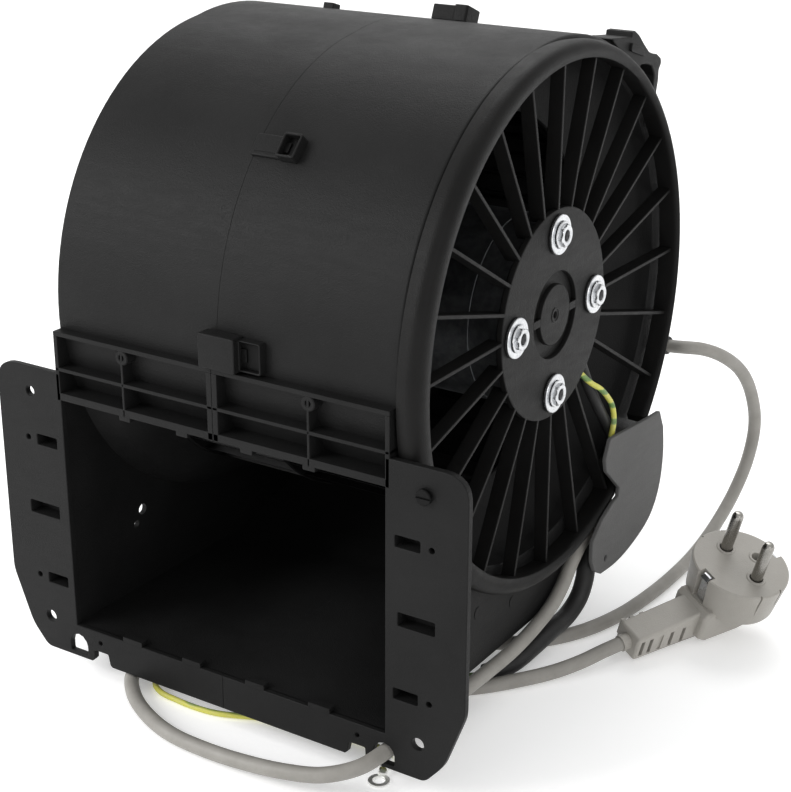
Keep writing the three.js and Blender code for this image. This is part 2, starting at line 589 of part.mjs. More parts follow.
// crimped ring terminal at the end of the earth lead, flat on the table
put('ring_terminal', (() => {
  const flat = new THREE.CylinderGeometry(4.6, 4.6, 1, 18).rotateX(Math.PI / 2);
  const eye = new THREE.CylinderGeometry(2.6, 2.6, 4, 14).rotateX(Math.PI / 2);
  const barrel = new THREE.CylinderGeometry(2.2, 2.2, 7, 12).translate(0, 9, 1.8);
  const bore = new THREE.CylinderGeometry(1.65, 1.65, 8, 12).translate(0, 10.8, 1.8);
  const body = unite([flat, box(-1.6, 1.6, 3.6, 6.4, -0.5, 1.6), barrel]);
  const out = fromSolid(cut(body, [eye, bore]));
  out.rotateZ(15.4 * DEG);
  return out.translate(80, -117.7, Z_TABLE + 0.6);
})(), 'zinc');

// ---- plug, drawn in millimetres in its own frame: x pin to pin, z out of the face --------------------
function plugPlaced(solid) {
  const g = fromSolid(solid);
  const axis = (v) => new THREE.Vector3(v[0], v[1], v[2]).normalize().divideScalar(SCALE);
  const m = new THREE.Matrix4().makeBasis(axis(FACE_X), axis(FACE_Y), axis(FACE_Z));
  m.setPosition(FACE[0], FACE[1], FACE[2]);
  g.applyMatrix4(m);
  return toSolid(g);
}

function rodZ(r0, r1, z0, z1, x = 0, y = 0, n = 16) {
  const g = new THREE.CylinderGeometry(r1, r0, z1 - z0, n).rotateX(Math.PI / 2);
  return g.translate(x, y, (z0 + z1) / 2);
}

function plugBody() {
  const grip = [[-19, -14], [12, -14], [11, -22], [5, -29], [-17, -29.6], [-21, -27],
    [-21, -16]];
  const relief = [[-18, -15], [-51.3, -19.1], [-51.3, -30.1], [-18, -29]];
  const body = unite([rodZ(18.2, 20, -17, 0, 0, 0, 28), prismX(grip, -9.5, 9.5),
    prismX(relief, -6.2, 6.2)]);
  const tools = [
    rodZ(2.4, 2.4, -12, 1, 0, 8.8, 14),
    box(-3.2, 3.2, 16.2, 22, -18, 1),
    box(-3.2, 3.2, -22, -16.2, -13.6, 1),
    rodZ(2.75, 2.75, -6, 1, -9.5, 0, 14),
    rodZ(2.75, 2.75, -6, 1, 9.5, 0, 14),
  ];
  for (const y of [-48.4, -44.2, -33.6, -27.5]) {
    tools.push(box(4, 8, y - 0.9, y + 0.9, -28, -20.5));
    tools.push(box(-8, -4, y - 0.9, y + 0.9, -28, -20.5));
  }
  const socket = new THREE.CylinderGeometry(3.35, 3.35, 6.4, 12).rotateX(7.2 * DEG);
  tools.push(socket.translate(0, -51.3, -24.45));
  return cut(body, tools);
}
put('plug_body', plugPlaced(plugBody()), 'plug');

const pin = [[0, -5.7], [2.4, -5.7], [2.4, 16.8], [2, 18.4], [1, 19], [0, 19]];
[-9.5, 9.5].forEach((x, i) => {
  const points = pin.map((q) => new THREE.Vector2(q[0], q[1]));
  const g = new THREE.LatheGeometry(points, 14).rotateX(Math.PI / 2).translate(x, 0, 0);
  put(`plug_pin_${i + 1}`, plugPlaced(toSolid(g)), 'zinc');
});
const clip = [[16.5, -13.2], [17.3, -13.2], [17.5, -4.6], [19, -2.4], [17.6, -0.8], [16.5, -0.8]];
[1, -1].forEach((side, i) => {
  const points = clip.map((q) => [q[0] * side, q[1]]);
  put(`plug_clip_${i + 1}`, plugPlaced(toSolid(prismX(points, -1.9, 1.9))), 'zinc');
});

export default group;
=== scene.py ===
"""Double-inlet centrifugal blower: the looks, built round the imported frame.

Shapes are drawn in drawing units round the fan axis (X along the axis, air leaves towards -Y)
and moved into the frame by TO_M.
"""

import json
import math

import bmesh
import bpy
from mathutils import Matrix, Vector

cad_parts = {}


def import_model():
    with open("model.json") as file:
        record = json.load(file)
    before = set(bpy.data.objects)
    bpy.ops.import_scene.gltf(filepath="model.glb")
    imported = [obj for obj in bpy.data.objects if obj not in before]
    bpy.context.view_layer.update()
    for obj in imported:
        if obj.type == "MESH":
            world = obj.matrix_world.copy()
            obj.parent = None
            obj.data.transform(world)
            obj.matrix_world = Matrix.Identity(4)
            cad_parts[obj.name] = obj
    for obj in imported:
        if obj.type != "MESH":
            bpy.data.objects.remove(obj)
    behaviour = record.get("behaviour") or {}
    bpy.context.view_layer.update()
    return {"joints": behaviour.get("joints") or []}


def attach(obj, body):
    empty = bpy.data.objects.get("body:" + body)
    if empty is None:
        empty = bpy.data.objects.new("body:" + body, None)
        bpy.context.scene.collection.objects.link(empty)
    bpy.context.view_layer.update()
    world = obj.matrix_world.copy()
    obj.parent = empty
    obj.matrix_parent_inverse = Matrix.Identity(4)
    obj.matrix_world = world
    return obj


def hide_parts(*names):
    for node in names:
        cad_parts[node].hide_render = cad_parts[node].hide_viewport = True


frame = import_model()

U = 0.00086  # metres per drawing unit
AXIS = Vector(frame["joints"][0]["pos_m"])  # the fan axis, middle of the wheel
TO_M = Matrix.Translation(AXIS) @ Matrix.Diagonal((U, U, U, 1))
HOUSING, ROTOR = "housing", "rotor"


def world(x, y, z):
    return TO_M @ Vector((x, y, z))


def turn(angle, axis="X"):
    return Matrix.Rotation(math.radians(angle), 4, axis)


def shift(x, y, z):
    return Matrix.Translation((x, y, z))


def new_object(name, data):
    ob = bpy.data.objects.new(name, data)
    bpy.context.scene.collection.objects.link(ob)
    return ob


# ---- camera ----
AZ, EL, ROLL = math.radians(32.6017), math.radians(21.1509), math.radians(0.1824)
back = Vector((math.sin(AZ) * math.cos(EL), -math.cos(AZ) * math.cos(EL), math.sin(EL)))
side = Vector((math.cos(AZ), math.sin(AZ), 0))
rise = back.cross(side)
right = side * math.cos(ROLL) + rise * math.sin(ROLL)
up = rise * math.cos(ROLL) - side * math.sin(ROLL)
EYE = world(404.22, -613.01, 227.98)
camera = new_object("camera", bpy.data.cameras.new("camera"))
camera.data.sensor_width, camera.data.lens = 36.0, 77.70
camera.data.clip_start, camera.data.clip_end = 0.05, 20
camera.matrix_world = shift(*EYE) @ Matrix((right, up, back)).transposed().to_4x4()
bpy.context.scene.camera = camera


# ---- mesh helpers ----
def polar(r, a):
    return r * math.cos(math.radians(a)), r * math.sin(math.radians(a))


def circle(u, v, r, n=16):
    return [(u + p, v + q) for p, q in (polar(r, 360 * i / n) for i in range(n))]


def rect(u, v, w, h):
    return [(u - w / 2, v - h / 2), (u + w / 2, v - h / 2), (u + w / 2, v + h / 2),
            (u - w / 2, v + h / 2)]


def signed_area(loop):
    return sum(p[0] * q[1] - q[0] * p[1] for p, q in zip(loop, loop[1:] + loop[:1])) / 2


def fillet(points, steps=5, radius=0.0):
    """Rounds the corners of a closed outline. A point is (u, v) or (u, v, its own radius)."""
    out = []
    n = len(points)
    for i, point in enumerate(points):
        here = Vector(point[:2])
        before = Vector(points[i - 1][:2]) - here
        after = Vector(points[(i + 1) % n][:2]) - here
        r = point[2] if len(point) > 2 else radius
        la, lb = before.length, after.length
        angle = before.angle(after, math.pi) if la > 1e-9 and lb > 1e-9 else math.pi
        if r <= 0 or angle > math.radians(176):
            out.append(tuple(here))
            continue
        reach = min(r / math.tan(angle / 2), 0.49 * la, 0.49 * lb)
        a, b = here + before.normalized() * reach, here + after.normalized() * reach
        for k in range(steps + 1):
            t = k / steps
            q = a * (1 - t) ** 2 + here * 2 * t * (1 - t) + b * t * t
            out.append((q.x, q.y))
    return out


def smooth_line(points, per):
    """Centripetal Catmull-Rom curve through points."""
    pts = [Vector(p) for p in points]
    pts = [2 * pts[0] - pts[1], *pts, 2 * pts[-1] - pts[-2]]
    out = []
    for p0, p1, p2, p3 in zip(pts, pts[1:], pts[2:], pts[3:]):
        t1 = max((p1 - p0).length, 1e-9) ** 0.5
        t2 = t1 + max((p2 - p1).length, 1e-9) ** 0.5
        t3 = t2 + max((p3 - p2).length, 1e-9) ** 0.5
        for k in range(per):
            t = t1 + (t2 - t1) * k / per
            a1 = p0 * ((t1 - t) / t1) + p1 * (t / t1)
            a2 = p1 * ((t2 - t) / (t2 - t1)) + p2 * ((t - t1) / (t2 - t1))
            a3 = p2 * ((t3 - t) / (t3 - t2)) + p3 * ((t - t2) / (t3 - t2))
            b1 = a1 * ((t2 - t) / t2) + a2 * (t / t2)
            b2 = a2 * ((t3 - t) / (t3 - t1)) + a3 * ((t - t1) / (t3 - t1))
            out.append(b1 * ((t2 - t) / (t2 - t1)) + b2 * ((t - t1) / (t2 - t1)))
    return [*out, pts[-2]]


class Shape:
    """Closed forms in drawing units, gathered into one piece."""

    def __init__(self):
        self.v, self.f = [], []

    def add(self, verts, faces):
        n = len(self.v)
        self.v += [tuple(p) for p in verts]
        self.f += [tuple(n + i for i in face) for face in faces]
        return self

    def join(self, other):
        return self.add(other.v, other.f)

    def grid(self, rows, wrap=False):
        """skin over closed rows of points, capped at both ends or wrapped into a ring of rows"""
        n, m = len(rows), len(rows[0])
        faces = []
        for i in range(n if wrap else n - 1):
            for j in range(m):
                k, l = (i + 1) % n, (j + 1) % m
                faces.append((i * m + j, i * m + l, k * m + l, k * m + j))
        if not wrap:
            faces.append(tuple(range(m))[::-1])
            faces.append(tuple((n - 1) * m + j for j in range(m)))
        return self.add([p for r in rows for p in r], faces)

    def lathe(self, profile, n=96, start=0.0, sweep=360.0):
        """closed profile of (radius, x) turned round the fan axis"""
        full = sweep >= 360
        count = n if full else n + 1
        rows = []
        for i in range(count):
            a = start + sweep * i / n
            rows.append([(x, *polar(r, a)) for r, x in profile])
        return self.grid(rows, wrap=full)

    def plate(self, outline, holes, lo, hi, axis, bevel=0.35, res=2):
        """flat form with rounded edges; outline and holes lie across the axis it is thick along"""
        cu = bpy.data.curves.new("plate", "CURVE")
        cu.dimensions, cu.fill_mode = "2D", "BOTH"
        for k, loop in enumerate([outline, *holes]):
            loop = [tuple(p[:2]) for p in loop]
            if (signed_area(loop) > 0) != (k == 0):
                loop.reverse()
            spline = cu.splines.new("POLY")
            spline.points.add(len(loop) - 1)
            for p, q in zip(spline.points, loop):
                p.co = (q[0], q[1], 0, 1)
            spline.use_cyclic_u = True
        cu.extrude, cu.bevel_depth = max((hi - lo) / 2 - bevel, 1e-4), bevel
        cu.bevel_resolution, cu.offset = res, -bevel
        ob = new_object("plate", cu)
        made = bpy.data.meshes.new_from_object(
            ob.evaluated_get(bpy.context.evaluated_depsgraph_get()))
        bpy.data.objects.remove(ob)
        mid = (lo + hi) / 2
        order = {"x": lambda u, v, w: (w, u, v), "y": lambda u, v, w: (u, w, v),
                 "z": lambda u, v, w: (u, v, w)}[axis]
        bm = bmesh.new()
        bm.from_mesh(made)
        bmesh.ops.remove_doubles(bm, verts=bm.verts, dist=1e-4)
        bm.verts.index_update()
        verts = [order(p.co.x, p.co.y, p.co.z + mid) for p in bm.verts]
        faces = [[p.index for p in face.verts] for face in bm.faces]
        bm.free()
        bpy.data.meshes.remove(made)
        return self.add(verts, faces)

    def block(self, x0, x1, y0, y1, z0, z1, bevel=0.4):
        bm = bmesh.new()
        bmesh.ops.create_cube(bm, size=1)
        for p in bm.verts:
            p.co = ((x0 + x1) / 2 + p.co.x * (x1 - x0), (y0 + y1) / 2 + p.co.y * (y1 - y0),
                    (z0 + z1) / 2 + p.co.z * (z1 - z0))
        bmesh.ops.bevel(bm, geom=list(bm.edges), offset=bevel, segments=2, profile=0.6,
                        affect="EDGES", clamp_overlap=True)
        bm.verts.index_update()
        verts = [tuple(p.co) for p in bm.verts]
        faces = [[p.index for p in face.verts] for face in bm.faces]
        bm.free()
        return self.add(verts, faces)

    def turned(self, profile, base=(0, 0, 0), axis=(0, 0, 1), n=32):
        """closed profile of (radius, height) turned round any axis that starts at base"""
        w = Vector(axis).normalized()
        u = w.orthogonal().normalized()
        v = w.cross(u)
        rows = []
        for i in range(n):
            c, s = polar(1, 360 * i / n)
            rows.append([Vector(base) + (u * c + v * s) * r + w * h for r, h in profile])
        return self.grid(rows, wrap=True)

    def tube(self, line, radius, n):
        """round rod along a line"""
        pts = [Vector(p) for p in line]
        circle_points = [polar(1, 360 * k / n) for k in range(n)]
        rows, u = [], None
        for i, p in enumerate(pts):
            t = (pts[min(i + 1, len(pts) - 1)] - pts[max(i - 1, 0)]).normalized()
            u = t.orthogonal().normalized() if u is None else (u - t * u.dot(t)).normalized()
            v = t.cross(u)
            rows.append([p + (u * c + v * s) * radius for c, s in circle_points])
        return self.grid(rows)

    def mesh(self, name="form"):
        mesh = bpy.data.meshes.new(name)
        mesh.from_pydata(self.v, [], self.f)
        bm = bmesh.new()
        bm.from_mesh(mesh)
        bmesh.ops.remove_doubles(bm, verts=bm.verts, dist=1e-5)
        bmesh.ops.dissolve_degenerate(bm, edges=bm.edges, dist=1e-5)
        bmesh.ops.recalc_face_normals(bm, faces=bm.faces)
        bm.to_mesh(mesh)
        bm.free()
        return mesh

    def drilled(self, tools):
        """cuts closed tool forms out of this closed form"""
        made = [new_object("form", s.mesh()) for s in (self, *tools)]
        for tool in made[1:]:
            mod = made[0].modifiers.new("cut", "BOOLEAN")
            mod.operation, mod.solver, mod.object = "DIFFERENCE", "EXACT", tool
        cut = bpy.data.meshes.new_from_object(
            made[0].evaluated_get(bpy.context.evaluated_depsgraph_get()))
        self.v = [tuple(p.co) for p in cut.vertices]
        self.f = [tuple(f.vertices) for f in cut.polygons]
        for ob in made:
            bpy.data.objects.remove(ob)
        return self

    def mirrored(self):
        other = Shape()
        other.v = [(-x, y, z) for x, y, z in self.v]
        other.f = [tuple(reversed(face)) for face in self.f]
        return other

    def moved(self, matrix):
        self.v = [tuple(matrix @ Vector(p)) for p in self.v]
        return self

    def piece(self, name, material, slot, nodes=(), body=HOUSING, sharp=32, weighted=True):
        """puts the shape into the frame as a named piece that stands for CAD nodes"""
        mesh = self.mesh(name)
        mesh.transform(TO_M)
        mesh.polygons.foreach_set("use_smooth", [True] * len(mesh.polygons))
        mesh.set_sharp_from_angle(angle=math.radians(sharp))
        mesh.materials.append(material)
        ob = new_object(name, mesh)
        if weighted:
            mod = ob.modifiers.new("normals", "WEIGHTED_NORMAL")
            mod.keep_sharp = True
        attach(ob, body)
        if nodes:
            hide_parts(*nodes)
        return ob


# ---- materials ----
class Nodes:
    """A material whose colour, roughness and bump come from nodes on object coordinates."""

    def __init__(self, name, **inputs):
        self.mat = bpy.data.materials.new(name)
        self.mat.use_nodes = True
        self.tree = self.mat.node_tree
        self.bsdf = self.tree.nodes["Principled BSDF"]
        for key, value in inputs.items():
            self.bsdf.inputs[key.replace("_", " ")].default_value = value
        self.coords = self.make("ShaderNodeTexCoord").outputs["Object"]

    def make(self, kind, **settings):
        node = self.tree.nodes.new(kind)
        for key, value in settings.items():
            setattr(node, key, value)
        return node

    def link(self, a, b):
        self.tree.links.new(a, b)

    def feed(self, value, socket):
        """a socket takes a number, a colour or another node's output"""
        if isinstance(value, (int, float)):
            socket.default_value = value
        elif isinstance(value, tuple):
            socket.default_value = (*value, 1)
        else:
            self.link(value, socket)

    def stretched(self, scale):
        node = self.make("ShaderNodeMapping")
        node.inputs["Scale"].default_value = scale
        self.link(self.coords, node.inputs["Vector"])
        return node.outputs["Vector"]

    def noise(self, scale, detail=4.0, rough=0.55, vector=None):
        node = self.make("ShaderNodeTexNoise")
        node.inputs["Scale"].default_value = scale
        node.inputs["Detail"].default_value = detail
        node.inputs["Roughness"].default_value = rough
        self.link(vector or self.coords, node.inputs["Vector"])
        return node.outputs["Fac"]

    def cells(self, scale):
        node = self.make("ShaderNodeTexVoronoi")
        node.inputs["Scale"].default_value = scale
        self.link(self.coords, node.inputs["Vector"])
        return node.outputs["Distance"]

    def ramp(self, fac, stops):
        node = self.make("ShaderNodeValToRGB")
        while len(node.color_ramp.elements) < len(stops):
            node.color_ramp.elements.new(0.5)
        for element, (place, colour) in zip(node.color_ramp.elements, stops):
            element.position = place
            element.color = (*colour, 1)
        self.link(fac, node.inputs["Fac"])
        return node.outputs["Color"]

    def spread(self, fac, low, high, lo=0.0, hi=1.0):
        node = self.make("ShaderNodeMapRange")
        for key, value in {"From Min": lo, "From Max": hi, "To Min": low, "To Max": high}.items():
            node.inputs[key].default_value = value
        self.link(fac, node.inputs["Value"])
        return node.outputs["Result"]

    def mix(self, a, b, fac):
        node = self.make("ShaderNodeMix", data_type="RGBA")
        for index, value in ((0, fac), (6, a), (7, b)):
            self.feed(value, node.inputs[index])
        return node.outputs[2]

    def plus(self, a, b):
        node = self.make("ShaderNodeMath", operation="ADD")
        for socket, value in zip(node.inputs, (a, b)):
            self.feed(value, socket)
        return node.outputs["Value"]

    def bump(self, layers):
        """layers of (height, distance in metres), coarse first"""
        normal = None
        for height, distance in layers:
            node = self.make("ShaderNodeBump")
            node.inputs["Distance"].default_value = distance
            self.link(height, node.inputs["Height"])
            if normal is not None:
                self.link(normal, node.inputs["Normal"])
            normal = node.outputs["Normal"]
        self.link(normal, self.bsdf.inputs["Normal"])

    def colour(self, socket):
        self.link(socket, self.bsdf.inputs["Base Color"])

    def roughness(self, socket):
        self.link(socket, self.bsdf.inputs["Roughness"])


def grey(v, warm=0.0):
    return (v * (1 + warm), v, v * (1 - warm))


def moulded(name, dark, light, rough, grain, dust=0.05, shine=0.1):
    """Moulded plastic: cloudy tone, fine erosion grain, faint rub marks and dust."""
    m = Nodes(name, Specular_IOR_Level=shine)
    cloud = m.noise(28, 5, 0.6)
    tone = m.mix(dark, light, m.spread(cloud, 0, 1, 0.35, 0.68))
    fine = m.noise(2600, 2, 0.5)
    tone = m.mix(tone, light, m.spread(fine, 0, 0.25, 0.55, 0.85))
    speck = m.spread(m.cells(900), dust, 0.0, 0.02, 0.10)
    tone = m.mix(tone, tuple(min(1, c * 3) for c in light), speck)
    m.colour(tone)
    rub = m.noise(60, 6, 0.7, m.stretched((1, 1, 7)))
    worn = m.plus(m.spread(cloud, -0.05, 0.05, 0.3, 0.7), m.spread(rub, -0.06, 0.06, 0.3, 0.7))
    m.roughness(m.plus(worn, rough))
    m.bump([(cloud, 0.00035), (m.noise(1500, 3, 0.6), grain), (m.cells(3200), grain * 0.6)])
    return m.mat


def sheath(name, dark, light, rough, grain=0.00004):
    """Soft cable sheath: slight mottling, handling marks and fine grain."""
    m = Nodes(name, Specular_IOR_Level=0.4)
    cloud = m.noise(75, 5, 0.6)
    tone = m.mix(dark, light, m.spread(cloud, 0, 1, 0.32, 0.7))
    grime = m.noise(420, 6, 0.75)
    tone = m.mix(tone, tuple(c * 0.62 for c in dark), m.spread(grime, 0, 0.5, 0.62, 0.8))
    m.colour(tone)
    m.roughness(m.spread(m.noise(160, 4), rough - 0.08, rough + 0.1, 0.3, 0.7))
    m.bump([(cloud, 0.00025), (m.noise(1700, 3, 0.6), grain)])
    return m.mat


def metal(name, dark, light, rough, scale=900, stretch=(1, 1, 1)):
    """Plated or bare metal: grain, stains and small pits."""
    m = Nodes(name, Metallic=1.0)
    grain = m.noise(scale, 5, 0.65, m.stretched(stretch))
    cloud = m.noise(110, 5, 0.6)
    tone = m.mix(dark, light, m.spread(grain, 0, 1, 0.35, 0.65))
    tone = m.mix(tone, tuple(c * 0.55 for c in dark), m.spread(cloud, 0, 0.25, 0.5, 0.72))
    m.colour(tone)
    m.roughness(m.spread(cloud, rough - 0.06, rough + 0.14, 0.3, 0.7))
    m.bump([(grain, 0.00003), (m.cells(1400), 0.00002)])
    return m.mat


BLACK = moulded("black_plastic", grey(0.009), grey(0.0125), 0.42, 0.00010)
GUARD = moulded("guard_plastic", grey(0.0062, 0.02), grey(0.009, 0.02), 0.42, 0.00009)
# darker copy of the black plastic: painted shade for the wheel and the socket floors seen deep inside
# the housing; the wing screw takes it too
PAINTED_SHADE_BLACK = moulded("black_plastic_painted_shade", grey(0.004), grey(0.007), 0.45, 0.00008)
COVER = moulded("cover_plastic", grey(0.086, 0.01), grey(0.106, 0.01), 0.55, 0.00012)
PLUG = moulded("plug_plastic", (0.31, 0.296, 0.268), (0.37, 0.352, 0.322), 0.42, 0.00007, dust=0.02,
               shine=0.4)
NYLON = moulded("nylon", (0.55, 0.52, 0.44), (0.66, 0.63, 0.55), 0.45, 0.00006, dust=0.02,
                shine=0.4)
LEAD = sheath("lead_sheath", (0.235, 0.226, 0.206), (0.30, 0.288, 0.265), 0.5)
SLEEVE = sheath("black_sleeve", grey(0.009), grey(0.014), 0.55, 0.0001)
ZINC = metal("bright_zinc", (0.56, 0.57, 0.59), (0.72, 0.73, 0.74), 0.22)
STEEL = metal("plain_steel", (0.42, 0.43, 0.44), (0.60, 0.61, 0.62), 0.34, 700, (1, 6, 6))
TIN = metal("tinned_copper", (0.80, 0.80, 0.78), (0.92, 0.92, 0.90), 0.45, 700, (6, 6, 1))
PIN = metal("pin_steel", (0.26, 0.25, 0.23), (0.36, 0.35, 0.33), 0.2, 700, (6, 6, 1))
DARK_STEEL = metal("blackened_steel", (0.03, 0.03, 0.032), (0.06, 0.06, 0.062), 0.42, 700)
GALV = metal("galvanised", (0.10, 0.105, 0.11), (0.17, 0.175, 0.18), 0.42, 260)
COPPER = metal("enamelled_copper", (0.45, 0.17, 0.06), (0.66, 0.28, 0.11), 0.35, 1500, (1, 9, 9))


def striped():
    """Green and yellow insulation in bands, dulled by handling."""
    m = Nodes("green_yellow", Roughness=0.45, Specular_IOR_Level=0.35)
    wave = m.make("ShaderNodeTexWave", wave_type="BANDS", bands_direction="Z")
    wave.inputs["Scale"].default_value = 38
    wave.inputs["Distortion"].default_value = 2.0
    m.link(m.coords, wave.inputs["Vector"])
    tone = m.ramp(wave.outputs["Fac"], [(0.0, (0.56, 0.54, 0.08)), (0.6, (0.58, 0.56, 0.11)),
                                        (0.8, (0.16, 0.27, 0.07)), (1.0, (0.12, 0.22, 0.06))])
    m.colour(m.mix(tone, (0.42, 0.42, 0.30), m.spread(m.noise(500, 4), 0, 0.4, 0.45, 0.8)))
    m.bump([(m.noise(900, 3), 0.00005)])
    return m.mat


EARTH = striped()


# ---- leads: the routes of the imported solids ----
Z_TABLE = -169.5
D_LEAD, D_EARTH, D_SLEEVE = 6.6, 2.6, 8.8
Z_LEAD = Z_TABLE + D_LEAD / 2 + 0.1  # middle of a lead that lies on the table
Z_EARTH = Z_TABLE + D_EARTH / 2 + 0.4
R_SCROLL, R_GROW = 112.5, 36  # least scroll radius, growth down to the outlet
A_GROW = 97  # angle above which the radius stays the least
GLAND_A, GLAND_H = -22, 15.5  # angle and height of the rear lead outlet


def scroll_radius(a):
    return R_SCROLL if a >= A_GROW else R_SCROLL + R_GROW * (A_GROW - a) / (A_GROW + 90)


GLAND_Y, GLAND_Z = polar(scroll_radius(GLAND_A) + GLAND_H, GLAND_A)
MAINS = [
    (89.6, 66, -111.5), (89.6, 54, -118), (89.6, 46, -121.3), (89.5, 38, -125.2), (89.4, 31, -130.5),
    (89.4, 23, -138.3), (89.4, 12, -144.6), (89.2, -4, -148.6), (88.9, -22, -151),
    (87.6, -40, -152.4), (86, -55, -153.6), (84.3, -72, -154.6), (82.4, -95, -155.2),
    (81.6, -117, -155.6), (77.4, -128.8, -157.4), (66, -137, -160.4), (50, -140.6, -162.6),
    (29, -142, -164.6), (8, -142, -165.6), (-12, -139.6), (-31, -132.6), (-46, -122.8), (-56.5, -111),
    (-61, -97), (-58, -81), (-47, -69.5), (-30, -64), (-6, -62.5), (20, -61.5), (44, -58), (64, -49),
    (80, -35.5), (92, -20.5), (101.6, -6.4, Z_LEAD + 0.3), (109.4, 5.2, -163.8),
    (114.8, 15.7, -161.9), (119.7, 25, -160.45), (122.2, 29.8, -159.7)]
CONTROL = [
    (44, GLAND_Y, GLAND_Z), (58, GLAND_Y, GLAND_Z), (86, GLAND_Y, GLAND_Z), (93, 140.4, -56),
    (100.4, 146, -57.2), (107, 158, -63.5), (111.4, 174, -76), (113, 187, -93), (113, 194.6, -112),
    (111.8, 192, -130), (110, 180, -146), (108.2, 160, -158.6), (107.2, 138, -165.2), (107.4, 112),
    (106.2, 84), (102.6, 58), (94.6, 34), (81, 14), (62, 0), (36, -9), (6, -12), (-24, -9), (-52, 2),
    (-74, 20), (-88, 44), (-93, 72), (-92, 100), (-86, 128), (-78, 152)]
SLEEVE_LINE = [
    (90.4, 56, -128.8), (90.5, 50, -131.2), (90.6, 45.2, -136.4), (90.6, 43.6, -143.5),
    (90, 39.6, -151.6), (89, 30.4, -157.2), (88.4, 15, -158.4), (87, 0, -160.6), (84, -14, -163.4),
    (77, -26, -165)]
EARTH_LINE = [
    (75.9, -27.4, -165.2), (66, -31.6, -167), (50, -34.5), (25, -36), (0, -38.5), (-17, -46, -165.6),
    (-26, -55.6, -161.2), (-32, -65, -160.4), (-37.6, -75.4, -162.4), (-43, -88, -166.8),
    (-46.6, -99), (-45.4, -108.6), (-38, -113.8), (-28, -115.2), (-17, -115.6), (-6, -114.2),
    (12, -107), (30, -102), (50, -99), (66, -98.4), (73.6, -100.4, -167.6), (76.6, -105, -167.2),
    (77.6, -109, -167.2)]


def lead(name, points, diameter, material, nodes):
    """round lead as one curve along the route; a point without z lies on the table"""
    z_laid = Z_EARTH if diameter == D_EARTH else Z_LEAD
    line = smooth_line([p if len(p) == 3 else (*p, z_laid) for p in points], per=8)
    cu = bpy.data.curves.new(name, "CURVE")
    cu.dimensions, cu.use_fill_caps = "3D", True
    cu.bevel_depth, cu.bevel_resolution = diameter / 2 * U, 6
    spline = cu.splines.new("POLY")
    spline.points.add(len(line) - 1)
    for p, q in zip(spline.points, line):
        p.co = (*world(*q), 1)
    spline.use_smooth = True
    cu.materials.append(material)
    ob = new_object(name, cu)
    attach(ob, HOUSING)
    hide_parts(*nodes)
    length = sum((q - p).length for p, q in zip(line, line[1:])) * U
    return ob, length


mains, mains_length = lead("mains_cable", MAINS, D_LEAD, LEAD, ["mains_lead"])
control, control_length = lead("control_cable", CONTROL, D_LEAD, LEAD, ["control_lead"])
sleeve, sleeve_length = lead("earth_cable_sleeve", SLEEVE_LINE, D_SLEEVE, SLEEVE,
                             ["earth_sleeve"])
earth, earth_length = lead("earth_cable", EARTH_LINE, D_EARTH, EARTH, ["earth_lead"])


# ---- scroll shells ----
Y_FLANGE, Y_FRONT = -117.2, -115.0  # front of the wings, front end of the walls
Z_DUCT, Z_OPEN = -148.5, -37.6  # underside of the duct floor, top of the outlet
X_SIDE, X_CHEEK = 85.5, 82.8  # outer side face, inner face beside the outlet
A_TONGUE = 198.1  # angle at which the band ends above the outlet
WALL = 2.5
SEAM = 0.03  # half the hair line between the two shells
# inlet dish and its back as points of (radius, x)
DISH = smooth_line([(110.3, 85.3), (109.7, 82.4), (108.4, 78), (104, 72), (95, 65.6), (88, 62.6),
                    (83.2, 61.4)], per=3)
DISH_LIP = [Vector(p) for p in ((82.2, 60.9), (81.8, 60.2), (82, 59.5), (82.8, 59.2))]
DISH_BACK = [(88, 60.4), (96, 63.2), (101.5, 66.5), (105.8, 70.2), (108.6, 73.8)]
BACK_X = [(110.0, 76.0), (111.4, 78.2), (112.1, 83.0)]


def back_x(r):
    """x of the inner side face at a radius"""
    for (r0, x0), (r1, x1) in zip(BACK_X, BACK_X[1:]):
        if r <= r1:
            return x0 + (x1 - x0) * max(0, r - r0) / (r1 - r0)
    return BACK_X[-1][1]


def side_section(outer, angle, x_out=X_SIDE):
    """from the outer edge over the side face and the dish to the back of the dish"""
    edge = Vector(outer)
    far = Vector(polar(111.2, angle))
    inward = (far - edge).normalized()
    row = [(x, *(edge + inward * d)) for d, x in
           ((0, x_out - 1.5), (0.12, x_out - 0.9), (0.45, x_out - 0.4), (0.95, x_out - 0.1),
            (1.25, x_out))]
    start = edge + inward * 1.25
    row += [(x_out, *start.lerp(far, k / 3)) for k in (1, 2, 3)]
    row += [(x_out - 0.05, *polar(110.7, angle))]
    row += [(x - (X_SIDE - x_out), *polar(r, angle)) for r, x in (*DISH, *DISH_LIP, *DISH_BACK)]
    return row


def volute():
    """band, side face and inlet dish of the right half as one closed skin"""
    rows = []
    stations = [((y, Z_DUCT), (y, Z_DUCT + WALL), math.degrees(math.atan2(Z_DUCT, y)))
                for y in (-115, -104, -90, -75, -60, -45, -30, -15)]
    for k in range(96):
        a = -90 + 286 * k / 95
        stations.append((polar(scroll_radius(a), a), polar(scroll_radius(a) - WALL, a), a))
    stations.append(((-105.9, Z_OPEN), (-103.2, Z_OPEN), A_TONGUE))
    for outer, inner, angle in stations:
        ri = Vector(inner).length
        x_in = back_x(ri)
        row = [(SEAM, *inner), (SEAM, *Vector(inner).lerp(Vector(outer), 0.5)),
               (SEAM, *Vector(inner).lerp(Vector(outer), 0.96)), (SEAM + 0.08, *outer)]
        row += [(x, *outer) for x in (14, 28, 42, 56, 70, 80)]
        row += side_section(outer, angle)
        row += [(back_x(min(r, ri)), *polar(min(r, ri), angle)) for r, _ in BACK_X]
        row += [(x, *inner) for x in (x_in, 70, 56, 42, 28, 14)]
        rows.append(row)
    return Shape().grid(rows)


